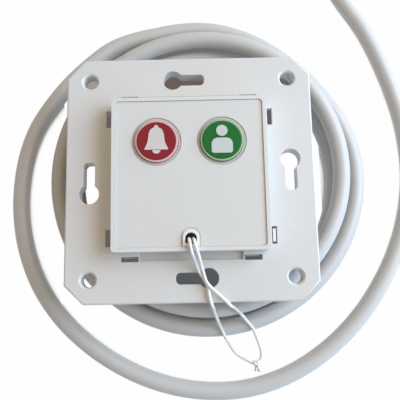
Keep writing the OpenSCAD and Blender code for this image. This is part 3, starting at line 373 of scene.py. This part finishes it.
# %% Metals
def metal(name, code, dull_code, roughness, patch_mm, depth_mm):
    material, tree, shader, place = material_of(name, Metallic=1.0)
    patches = add(tree, "TexNoise", "Fac", Vector=place, Scale=1 / (patch_mm * MM), Detail=4)
    connect(tree, shader,
            Base_Color=add(tree, "Mix", 2, COLOURS, _0=patches, _6=linear(code), _7=linear(dull_code)),
            Roughness=add(tree, "MapRange", "Result", Value=patches,
                          To_Min=roughness - 0.08, To_Max=roughness + 0.1),
            Normal=add(tree, "Bump", "Normal", Height=patches, Distance=depth_mm * MM))
    return material


spring_steel = metal("drawn spring steel", "BFC1C4", "A6A8AB", 0.28, 0.3, 0.004)
lever_steel = metal("rolled stainless steel", "C4C5C6", "B2B3B4", 0.3, 0.5, 0.003)
screw_zinc = metal("zinc plated steel", "C6CACE", "A9AEB4", 0.3, 0.7, 0.006)
contact_gold = metal("gold plated bronze", "E3BE6B", "CFA653", 0.22, 0.4, 0.002)

# %% [markdown]
# Soft pieces: the gland and the plug's boot are thermoplastic rubber, dull, with a fine
# bloom. The cores' insulation is smooth PVC in four signal colours.

# %% Rubber and insulation
gland_rubber = moulded("light grey thermoplastic rubber", "BDBCBA", "AFAEAB", 0.62, 0.25, 0.012,
                       IOR=1.5, Sheen_Weight=0.1)
boot_rubber = moulded("dark grey thermoplastic rubber", "6A6C6E", "5E6062", 0.62, 0.25, 0.012,
                      IOR=1.5, Sheen_Weight=0.1)
core_pvc = [sheath(colour + " PVC insulation", code, streak_code, 0.34) for colour, code, streak_code in (
    ("red", "C8302A", "B82822"), ("black", "2A2A2C", "343436"),
    ("yellow", "DFCB4A", "D2BC3C"), ("blue", "3A62B0", "3156A0"))]

# %% [markdown]
# The plug is clear polycarbonate, a little milky from moulding, so most light goes
# through it. The lamps on the board are clear resin over a small yellow chip, which a
# warm tint stands for.

# %% Clear plastics
plug_clear = moulded("clear polycarbonate", "DDE3E6", "D2D9DD", 0.14, 1.2, 0.003,
                     IOR=1.585, Transmission_Weight=0.72)
lamp_resin = moulded("clear lamp resin", "F0E6B4", "E6D995", 0.2, 0.5, 0.003,
                     IOR=1.5, Transmission_Weight=0.3)

# %% [markdown]
# The board is glass-fibre laminate under green solder lacquer. Copper tracks below the
# lacquer show as lighter green lines, 0.3 mm wide on a 2.54 mm grid, and each is a
# little raised. A brick pattern gives the lines, and a soft mask leaves some out.

# %% Circuit board
TRACK_W = 0.3 * MM
HOLE_GRID = 2.54 * MM
LAYOUT_PATCH = 6 * MM


def laminate():
    material, tree, shader, place = material_of(
        "lacquered glass-fibre board", IOR=1.55, Coat_Weight=0.3, Coat_Roughness=0.12)
    grid = add(tree, "TexBrick", "Fac", {"offset": 0.5}, Vector=place, Scale=1.0,
               Mortar_Size=TRACK_W / 2, Mortar_Smooth=0.1,
               Brick_Width=2 * HOLE_GRID, Row_Height=HOLE_GRID / 2)
    cloud = add(tree, "TexNoise", "Fac", Vector=place, Scale=1 / LAYOUT_PATCH, Detail=1)
    kept = add(tree, "MapRange", "Result", Value=cloud, From_Min=0.45, From_Max=0.5)
    tracks = add(tree, "Math", 0, TIMES, _0=grid, _1=kept)
    connect(tree, shader,
            Base_Color=add(tree, "Mix", 2, COLOURS, _0=tracks, _6=linear("1B5A33"), _7=linear("3C8A52")),
            Roughness=add(tree, "MapRange", "Result", Value=cloud, To_Min=0.25, To_Max=0.4),
            Normal=add(tree, "Bump", "Normal", Height=tracks, Distance=0.035 * MM))
    return material


board_laminate = laminate()

# %% [markdown]
# A wound cable's turns lie beside each other, and where a turn crosses another it climbs on
# to a second layer and comes down again. One formula gives all of that, the same one that
# the solids use: the radius grows with the angle, and the height follows an eased step. A
# turn may also be pressed in a little at one place.

# %% Wound turns
CABLE_D = 5.5
LOOP_PITCH = 6.4
POINT_EVERY = 15
CLIMB_OVER = 180


def eased(share):
    t = max(0.0, min(1.0, share))
    return t * t * (3 - 2 * t)


def loops(middle, inner_r, reverse, climb, fall, start, end, press=0, press_at=0, press_reach=180):
    """Piled loops, with a straight cable diameter at each end. Angles are in degrees."""
    def heading(angle):
        return Vector((-math.sin(math.radians(angle)), math.cos(math.radians(angle)), 0))

    def loop_point(angle):
        off = (angle - press_at) / press_reach
        pressed = (1 + math.cos(math.pi * off)) / 2 if abs(off) < 1 else 0
        r = inner_r + LOOP_PITCH * abs(angle - reverse) / 360 - press * pressed
        layers = eased((angle - climb) / CLIMB_OVER) - eased((angle - fall) / CLIMB_OVER)
        return Vector((middle[0] + r * math.cos(math.radians(angle)),
                       middle[1] + r * math.sin(math.radians(angle)),
                       CABLE_D / 2 + LOOP_PITCH * layers))

    count = round((end - start) / POINT_EVERY)
    points = [loop_point(start) - CABLE_D * heading(start)]
    points += [loop_point(start + (end - start) * i / count) for i in range(count + 1)]
    points.append(loop_point(end) + CABLE_D * heading(end))
    return [MM * point for point in points]


coil_points = loops(middle=(4.1, 4.1), inner_r=41, reverse=145, climb=75, fall=415,
                    start=-30, end=820, press=2.8, press_at=766, press_reach=50)
spare_points = loops(middle=(20, 110), inner_r=28.5, reverse=225, climb=135, fall=470,
                     start=-10, end=470)
print(len(coil_points), "points in the coil,", len(spare_points), "in the spare coil")

# %% [markdown]
# The cable leaves the housing's lower side, bends under the frame and winds two and a third turns, the
# last of them pressed in at its upper right. Then it runs in one wide loop round the unit, as in the
# photograph, and the length that the photograph doesn't show is wound up beyond the top edge. Outside the
# coils the points are listed one by one, in millimetres. A smooth line can dip a little between two
# points, so it is kept on the table.

# %% Cable route
CABLE_STEP = 1.6
lead_points = in_mm(
    (-10.8, -7, 6), (-10.8, -14.5, 6), (-10.8, -22, 5.9), (-9.7, -28, 5.1), (-6.6, -33.3, 3.9),
    (-1.8, -37, 3.05), (3.8, -38.6, 2.75), (13, -38.4, 2.75), (22.4, -35.3, 2.75), (31.7, -29.8, 2.75))
loop_points = in_mm(
    (-18.6, 53.6, 2.75), (-26.5, 50.6, 2.75), (-34.2, 44.8, 2.75), (-47.4, 30.2, 2.75),
    (-52.2, 22.2, 2.75), (-55.2, 13.4, 2.75), (-56.7, 3.6, 2.75), (-56.7, -7.2, 2.75),
    (-54.4, -19.8, 2.75), (-50, -30.8, 2.75), (-43.2, -40.8, 2.75), (-34.2, -49.5, 2.75),
    (-23.4, -56.7, 2.75),
    (-11, -62, 2.75), (2.6, -64.7, 2.75), (16.4, -64.3, 2.75), (29.8, -60.3, 2.75), (42, -53.2, 2.75),
    (53, -43.2, 2.75), (62, -30.9, 2.75), (69.4, -15, 2.75), (73, 2, 2.75), (72.4, 20, 2.75),
    (67.6, 39.6, 2.75), (61, 56, 2.75), (54.2, 67.4, 2.75), (49.4, 77, 2.75), (48.6, 88, 2.75))
tail_points = in_mm((-1.8, 136.5, 8.4), (-8.6, 132, 6.2), (-14.6, 125.6, 4.5), (-21, 113, 4))
cable_points = lead_points + coil_points + loop_points + spare_points + tail_points
cable_line = smooth_line(cable_points, CABLE_STEP * MM)
for point in cable_line:
    point.z = max(point.z, CABLE_D / 2 * MM)

# %% [markdown]
# One tube makes the whole cable. Twenty sides are round enough, since its edge is never nearer to the
# camera than the frame.

# %% Cable
CABLE_SIDES = 20
shape = bmesh.new()
tube_into(shape, cable_line, lambda distance, turn: CABLE_D / 2 * MM, CABLE_SIDES)
cable = piece_from(shape, "cable", "panel", [cable_pvc])
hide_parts("cable_lead", "cable_coil", "cable_loop", "spare_coil", "cable_tail")

# %% [markdown]
# The pull cord's two strands leave the slider side by side, come up through the eyelet,
# bend over its edge, cross on the frame, and hang down over the cable to a knot. The
# braid swells the tube in diamonds 0.8 mm long, from two waves that run round it in
# opposite ways. The rise of the strands is a share of the cord's radius.

# %% Pull cord
CORD_D = 1.0
CORD_STEP = 0.2
CORD_SIDES = 12
DIAMOND = 0.8 * MM
STRAND_RISE = 0.06
pull_points = in_mm(
    (-0.7, -16.4, 21.1), (-0.7, -16.5, 22), (-0.6, -18.7, 24.8), (-0.5, -19.2, 29.4), (-0.4, -19.9, 30.8),
    (-0.2, -21.2, 31.1), (0.1, -22.6, 30.7), (1, -25, 27.9), (1.9, -27.7, 25.1), (4.3, -32, 24.6),
    (5.2, -36.6, 24.6), (5.6, -37.7, 23.6), (6.1, -38.7, 18.6), (6.6, -40.4, 13.4), (7.3, -42.2, 10.6),
    (8.4, -45, 6.8), (9.7, -47.9, 5.1), (11, -50.2, 1.4), (13.3, -53.6, 0.6), (16.8, -55.9, 0.6),
    (19.9, -57, 1), (21.4, -55.6, 0.6), (21.4, -52.6, 0.6), (20.2, -49, 1.3), (18.4, -45.4, 5.6),
    (16.9, -43.5, 6.6), (15.2, -41.5, 10.7), (13.4, -39.6, 12.5), (12.3, -38.7, 15.6), (11.4, -38.2, 20.6),
    (10.5, -37.5, 23.8), (9.3, -36.3, 24.6), (5.6, -32.9, 25.2), (4.3, -31.4, 25.7), (3.1, -27.6, 25.3),
    (2.4, -25, 28), (1.7, -22.6, 30.7), (1.3, -21.2, 31.1), (1, -19.9, 30.8), (0.8, -19.2, 29.4),
    (0.7, -18.7, 24.8), (0.7, -16.5, 22), (0.7, -16.4, 21.1))
pull_line = smooth_line(pull_points, CORD_STEP * MM)
for point in pull_line:
    point.z = max(point.z, CORD_D / 2 * MM)


def braided(distance, turn):
    """Radius of the braid: strands cross four times round and rise where they lie on top."""
    along = math.pi * distance / DIAMOND
    weave = math.sin(2 * turn + along) * math.sin(2 * turn - along)
    return MM * CORD_D / 2 * (1 - STRAND_RISE / 2 + STRAND_RISE * weave)


shape = bmesh.new()
tube_into(shape, pull_line, braided, CORD_SIDES)
pull_cord = piece_from(shape, "pull_cord_braid", "pull_set", [cord_braid])
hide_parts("pull_cord")

# %% [markdown]
# The knot is an overhand knot pulled tight. Its line is a trefoil, the same curve that an
# overhand knot makes, small enough to be one lump, and two cut ends stick out of it, which
# droop and bend a little. Pulled tight, the cord in it is somewhat thinner.

# %% Knot
KNOT_AT = Vector((19.9, -57, 1.2))
KNOT_R, KNOT_RISE, TIGHT_SHARE = 0.26, 0.42, 0.92
KNOT_STEPS, END_STEPS = 96, 12
END_DROOP, END_BEND = 0.14, 0.35
# Each cut end's direction in degrees and its length
KNOT_ENDS = ((-76, 2.6), (-106, 2.3))
knot_loop, ends = [], []
for i in range(KNOT_STEPS + 1):
    t = math.tau * i / KNOT_STEPS
    knot_loop.append(MM * (KNOT_AT + Vector((
        KNOT_R * (math.sin(t) + 2 * math.sin(2 * t)),
        KNOT_R * (math.cos(t) - 2 * math.cos(2 * t)),
        -KNOT_RISE * math.sin(3 * t)))))
for turn, reach in KNOT_ENDS:
    way = Vector((math.cos(math.radians(turn)), math.sin(math.radians(turn)), -END_DROOP))
    bend = END_BEND * Vector((-way.y, way.x, 0))
    shares = [i / END_STEPS for i in range(END_STEPS + 1)]
    ends.append([MM * (KNOT_AT + way * reach * share + bend * share**2) for share in shares])

shape = bmesh.new()
for line in [knot_loop] + ends:
    tube_into(shape, line, lambda distance, turn: TIGHT_SHARE * braided(distance, turn), CORD_SIDES)
knot = piece_from(shape, "pull_cord_knot", "pull_set", [cord_braid])
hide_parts("cord_knot")

# %% [markdown]
# Behind the eyelet a steel spring pushes the slider back. Its end turns lie flat, as a
# ground compression spring's do.

# %% Return spring
SPRING_TURNS = 8
STEPS_PER_TURN = 24
SPRING_R, WIRE_R, WIRE_SIDES = 2.1, 0.2, 8
SLIDER_Y = -16.4
SPRING_LOW, SPRING_HIGH = 6.145, 18.25
spring_line = []
for i in range(SPRING_TURNS * STEPS_PER_TURN + 1):
    turns = i / STEPS_PER_TURN
    share = max(0.0, min(1.0, (turns - 1) / (SPRING_TURNS - 2)))
    spring_line.append(MM * Vector((
        SPRING_R * math.cos(math.tau * turns),
        SLIDER_Y + SPRING_R * math.sin(math.tau * turns),
        SPRING_LOW + (SPRING_HIGH - SPRING_LOW) * share)))
shape = bmesh.new()
tube_into(shape, spring_line, lambda distance, turn: WIRE_R * MM, WIRE_SIDES)
spring = piece_from(shape, "coiled_return_spring", "panel", [spring_steel])
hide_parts("return_spring")
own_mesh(spring)

# %% [markdown]
# Inside the housing the sheath ends and its four cores go on, up to the header on the
# board. The two upper ones rise nearer to the sheath, so that none crosses another. Each
# row of shares places one point of a core: how far it has come in x, y and z, and how much
# it keeps ahead of its neighbour or behind it.

# %% Cores
SHEATH_END = Vector((-10.8, -7, 6))
HEADER_FRONT = Vector((-11, -1, 13.9))
CORE_R, CORE_OFFSET, CORE_STEP, CORE_SIDES = 0.55, 0.85, 0.4, 12
CORES, PIN_PITCH, LAG_SHARE = 4, 2, 0.13
CORE_SHARES = ((0, 0, 0, 0), (0, 0.22, 0.02, 1), (0.25, 0.37, 0.3, 1), (0.75, 0.52, 0.7, 1),
               (1, 0.67, 0.98, 1), (1, 1, 1, 0))
shape = bmesh.new()
for i in range(CORES):
    side = -1 if i < CORES / 2 else 1
    level = 1 if i % 2 else -1
    start = SHEATH_END + CORE_OFFSET * Vector((side, 0, level))
    fan = HEADER_FRONT + Vector((PIN_PITCH * (i - (CORES - 1) / 2), 0, 0)) - start
    line = [MM * (start + Vector((fan.x * x, fan.y * (y - LAG_SHARE * level * lag), fan.z * z)))
            for x, y, z, lag in CORE_SHARES]
    tube_into(shape, smooth_line(line, CORE_STEP * MM), lambda distance, turn: CORE_R * MM, CORE_SIDES, i)
cores = piece_from(shape, "insulated_cores", "panel", core_pvc)
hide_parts("cable_cores")

# %% [markdown]
# No moulded edge is sharp. A copy of a solid's mesh gets small rounds from a bevel
# modifier on every edge that turns by more than 35 degrees, save along the frame's very
# shallow step, which would leave no room for them. Normals weighted by each face's area
# keep the flats flat, so that only the rounds catch the light.

# %% Rounded edges
LOW_WALL = 0.15 * MM
SAME_POINT = 0.002 * MM
SAME_FLAT = math.radians(0.5)
SHARP = math.radians(35)
UPRIGHT = 0.1


def height_of(face):
    return max(corner.co.z for corner in face.verts) - min(corner.co.z for corner in face.verts)


def rounded(node, name, material, width_mm, segments=3):
    """A copy of a solid with rounded edges, in place of the solid."""
    shape = bmesh.new()
    shape.from_mesh(frame["nodes"][node].data)
    bmesh.ops.remove_doubles(shape, verts=shape.verts, dist=SAME_POINT)
    bmesh.ops.dissolve_limit(shape, angle_limit=SAME_FLAT, verts=shape.verts, edges=shape.edges)
    weight = shape.edges.layers.float.new("bevel_weight_edge")
    for edge in shape.edges:
        turned = len(edge.link_faces) == 2 and edge.calc_face_angle(0.0) > SHARP
        low_wall = any(abs(face.normal.z) < UPRIGHT and height_of(face) < LOW_WALL
                       for face in edge.link_faces)
        edge[weight] = 1.0 if turned and not low_wall else 0.0
    for face in shape.faces:
        face.smooth = True
    piece = piece_from(shape, name, body_of_node[node], [material])
    for face in piece.data.polygons:
        face.material_index = 0
    piece.data.set_sharp_from_angle(angle=SHARP)
    bevel = piece.modifiers.new("rounded edges", "BEVEL")
    bevel.width = width_mm * MM
    bevel.segments = segments
    bevel.limit_method = "WEIGHT"
    bevel.use_clamp_overlap = True
    piece.modifiers.new("flat faces stay flat", "WEIGHTED_NORMAL").keep_sharp = True
    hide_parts(node)
    return piece


# %% [markdown]
# Each visible shell gets the rounds that its mould would have: 0.1 to 0.15 mm on thin and
# precise pieces, 0.2 mm on the module and the housing, 0.25 mm on the caps that a finger
# presses, and 0.3 mm on the rubber boot. The film is cut and has next to none.

# %% Shells
rounded("mounting_frame", "mounting_frame_shell", frame_abs, 0.15)
rounded("front_bezel", "module_shell", module_abs, 0.2)
rounded("face_label", "printed_label", label_film, 0.05, 2)
rounded("cord_eyelet", "eyelet_ring", eyelet_acetal, 0.15)
rounded("rear_housing", "housing_shell", housing_abs, 0.2)
for button, opal in (("call", call_opal), ("presence", presence_opal)):
    rounded(button + "_button_cap", button + "_cap", opal, 0.25)
for button, acrylic in (("call", red_acrylic), ("presence", green_acrylic)):
    rounded(button + "_button_disc", button + "_disc", acrylic, 0.12)
for button in ("call", "presence"):
    rounded(button + "_light_ring", button + "_ring", ring_frosted, 0.1)
rounded("cable_gland", "cable_gland_sleeve", gland_rubber, 0.2)
boot = rounded("plug_boot", "plug_boot_sleeve", boot_rubber, 0.3)
plug = rounded("plug_body", "plug_shell", plug_clear, 0.15)
latch = rounded("plug_latch", "plug_tongue", plug_clear, 0.12)

# %% [markdown]
# The rest of the solids have the right shape already, so they only get their materials.

# %% Finishes of the other solids
finish_of_node = {
    "call_bell_picture": bell_ink, "presence_figure_picture": figure_ink,
    "call_switch_body": switch_nylon, "presence_switch_body": switch_nylon,
    "call_switch_plunger": plunger_nylon, "presence_switch_plunger": plunger_nylon,
    "call_leds": lamp_resin, "presence_leds": lamp_resin,
    "circuit_board": board_laminate, "wire_header": header_nylon,
    "pull_switch_body": microswitch_pbt, "pull_switch_plunger": microswitch_red,
    "pull_switch_lever": lever_steel, "pull_slider": slider_acetal,
    "housing_screws": screw_zinc, "cable_clamp": clamp_nylon, "clamp_screws": screw_zinc,
    "plug_contacts": contact_gold,
}
for node, material in finish_of_node.items():
    for material_slot in frame["nodes"][node].material_slots:
        material_slot.material = material
print(len(finish_of_node), "solids kept as they are")

# %% [markdown]
# The plug's pieces now exist: its boot, its shell and its tongue.

print("cable declared with", boot.name, plug.name, latch.name, "and its contacts")

# %% [markdown]
# The table is a white sheet. A ray that shows it sees almost pure white, as in the photograph, where the
# sky reaches it: an ambient occlusion node measures how much of the sky each spot sees. Where little sky
# reaches, between the cable's turns and close under the unit, that glow gives way to the lit sheet painted
# a darker grey-brown. That is painted shade, partly real light and partly painted. Rays that only carry
# light from it see a plain white sheet, which lights the object from below. The main shader is what those
# rays see, and a glow is what the others see where the painted shade doesn't take over.

# %% Paper
GLOW = 0.99
SKY_REACH = 40 * MM


def shows(tree):
    """1 for a ray that shows a surface: straight, mirrored in a gloss or through glass."""
    rays = add(tree, "LightPath").outputs
    mirrored = add(tree, "Math", 0, HIGHEST, _0=rays["Is Glossy Ray"], _1=rays["Is Transmission Ray"])
    return add(tree, "Math", 0, HIGHEST, _0=rays["Is Camera Ray"], _1=mirrored)


def paper(name, glow_code="FFFFFF"):
    """White paper with a glow for the rays that show it, painted darker for them where the glow gives way,
    and the parts that shape it.
    """
    material, tree, shader, place = material_of(name, IOR=1.5, Roughness=0.9)
    seen = shows(tree)
    glow = add(tree, "Emission", Color=linear(glow_code), Strength=GLOW)
    mix = add(tree, "MixShader", _0=seen, _1=shader.outputs["BSDF"], _2=glow.outputs[0])
    connect(tree, tree.nodes["Material Output"], Surface=mix.outputs[0])
    # Rays that show the sheet see it a darker grey-brown wherever its glow gives way: painted shade.
    connect(tree, shader, Base_Color=add(
        tree, "Mix", 2, COLOURS, _0=seen, _6=linear("F2F2F2"), _7=linear("8F8885")))
    return material, {"tree": tree, "place": place, "seen": seen, "glow": glow, "mix": mix}


open_paper, parts = paper("white paper")
tree = parts["tree"]
# Where little sky reaches the sheet, its glow fades and the painted darker sheet shows: painted shade, lit
# by the real lights.
sky = add(tree, "AmbientOcclusion", "AO", {"samples": 16}, Distance=SKY_REACH)
open_share = add(tree, "MapRange", "Result", Value=sky, From_Min=0.1, From_Max=0.28)
tree.links.new(add(tree, "Math", 0, TIMES, _0=open_share, _1=parts["seen"]), parts["mix"].inputs[0])

# %% [markdown]
# Three places on the sheet don't follow the sky. Below the frame's outer holes it glows plain white, even
# where the frame shades it. That is painted light, standing in for light that comes in from the side.
# Below the middle of the frame its glow is a flat dark colour, warm at the upper left and cool at the
# lower right: a painted deep shadow. Between the coil and the frame's top edge the glow is a flat grey: a
# painted shadow too. Each place gets its own faces and its own paper.

# %% Shaded and side-lit paper
SHADE_REACH = 25 * MM
# This sheet glows plain white even under the frame: painted light.
painted_light_paper, parts = paper("white paper with painted side light")
# A flat grey glow 6D6E6F between the coil and the frame's top edge: painted shadow.
painted_coil_shadow_paper, parts = paper("white paper with painted coil shadow", "6D6E6F")
# A flat dark glow, warm at the upper left and cool at the lower right: painted deep shadow.
painted_shadow_paper, parts = paper("white paper with painted deep shadow")
tree = parts["tree"]
spot = add(tree, "SeparateXYZ", Vector=parts["place"])
up_left = add(tree, "Math", 0, {"operation": "SUBTRACT"}, _0=spot.outputs["Y"], _1=spot.outputs["X"])
warm_share = add(tree, "MapRange", "Result", Value=up_left, From_Min=-SHADE_REACH, From_Max=SHADE_REACH)
connect(tree, parts["glow"], Color=add(
    tree, "Mix", 2, COLOURS, _0=warm_share, _6=linear("565A5F"), _7=linear("6A5F5B")))

# %% [markdown]
# The sheet's edges and the edges of those places cut it into a grid. Each place is given
# by its lowest and highest x and y in millimetres, and where two overlap the first counts.

# %% Table
EDGE = 1500
PLACES = ((-29, 29, -37, 37, painted_shadow_paper), (-22, 26, 37, 43, painted_shadow_paper),
          (-22, 26, 43, 49, painted_coil_shadow_paper), (-14, 20, 49, 54, painted_coil_shadow_paper),
          (-44, 44, -37, 37, painted_light_paper), (-EDGE, EDGE, -EDGE, EDGE, open_paper))
cuts_x = sorted({x for place in PLACES for x in place[:2]})
cuts_y = sorted({y for place in PLACES for y in place[2:4]})
shape = bmesh.new()
rows = [[shape.verts.new((x * MM, y * MM, 0)) for x in cuts_x] for y in cuts_y]
for j, (low_row, high_row) in enumerate(zip(rows, rows[1:])):
    for i in range(len(cuts_x) - 1):
        x, y = (cuts_x[i] + cuts_x[i + 1]) / 2, (cuts_y[j] + cuts_y[j + 1]) / 2
        face = shape.faces.new((low_row[i], low_row[i + 1], high_row[i + 1], high_row[i]))
        face.material_index = next(k for k, place in enumerate(PLACES)
                                   if place[0] < x < place[1] and place[2] < y < place[3])
mesh = bpy.data.meshes.new("table")
shape.to_mesh(mesh)
shape.free()
for place in PLACES:
    mesh.materials.append(place[4])
table = bpy.data.objects.new("table", mesh)
bpy.context.scene.collection.objects.link(table)
print("table of", len(mesh.polygons), "faces")

# %% [markdown]
# The room gives two lights. A warm ceiling lights everything from above, and a large window
# on the right shows cool sky, which makes the right flanks of the cable bright. The front
# wall is cool and the back wall warm, both dim, so that no side is black. The world's
# colour is chosen by direction, and the rays that show the room see it white. The colours
# are linear light, because the window's is brighter than white.

# %% Room
FRONT_WALL = (0.27, 0.34, 0.50, 1)
BACK_WALL = (0.42, 0.35, 0.29, 1)
WINDOW_SKY = (1.30, 2.04, 2.70, 1)
CEILING = (0.66, 0.45, 0.16, 1)
WHITE = (1, 1, 1, 1)
world = bpy.data.worlds.new("room")
bpy.context.scene.world = world
world.use_nodes = True
tree = world.node_tree
tree.nodes.clear()
way = add(tree, "SeparateXYZ", Vector=add(tree, "TexCoord", "Generated"))
to_back = add(tree, "MapRange", "Result", Value=way.outputs["Y"], From_Min=-0.7, From_Max=0.4)
to_window = add(tree, "MapRange", "Result", Value=way.outputs["X"], From_Min=0.5, From_Max=0.7)
to_ceiling = add(tree, "MapRange", "Result", Value=way.outputs["Z"], From_Min=0.7, From_Max=0.8)
walls = add(tree, "Mix", 2, COLOURS, _0=to_back, _6=FRONT_WALL, _7=BACK_WALL)
walls = add(tree, "Mix", 2, COLOURS, _0=to_window, _6=walls, _7=WINDOW_SKY)
walls = add(tree, "Mix", 2, COLOURS, _0=to_ceiling, _6=walls, _7=CEILING)
room_light = add(tree, "Background", 0, Color=walls, Strength=1.0)
room_seen = add(tree, "Background", 0, Color=WHITE, Strength=1.0)
room = add(tree, "MixShader", 0, _0=shows(tree), _1=room_light, _2=room_seen)
connect(tree, add(tree, "OutputWorld"), Surface=room)
print("room of", len(tree.nodes), "nodes")

# %% [markdown]
# One soft square lamp stands in the window's direction. It lays the module's shadow to its
# left, where only the warm ceiling reaches, and its size makes that shadow's edge soft. Its
# place is in metres, and it faces the object.

# %% Window lamp
LAMP_AT = Vector((0.38, 0.12, 0.30))
LAMP_SIZE = 0.42
LAMP_WATTS = 2.25
lamp = bpy.data.lights.new("window", "AREA")
lamp.color = linear("EBF3FF")[:3]
lamp.energy = LAMP_WATTS
lamp.size = LAMP_SIZE
window = bpy.data.objects.new("window", lamp)
window.location = LAMP_AT
window.rotation_euler = LAMP_AT.to_track_quat("Z", "Y").to_euler()
bpy.context.scene.collection.objects.link(window)
print("lamp at", tuple(window.location))

# %% [markdown]
# Rounded tubes may stand a little proud of solids with few sides, and nothing else changes the object's
# size. The scene is brought up to date, and its colours are shown as written, without a film curve.

# %% Update and view
bpy.context.view_layer.update()
bpy.context.scene.view_settings.view_transform = "Standard"
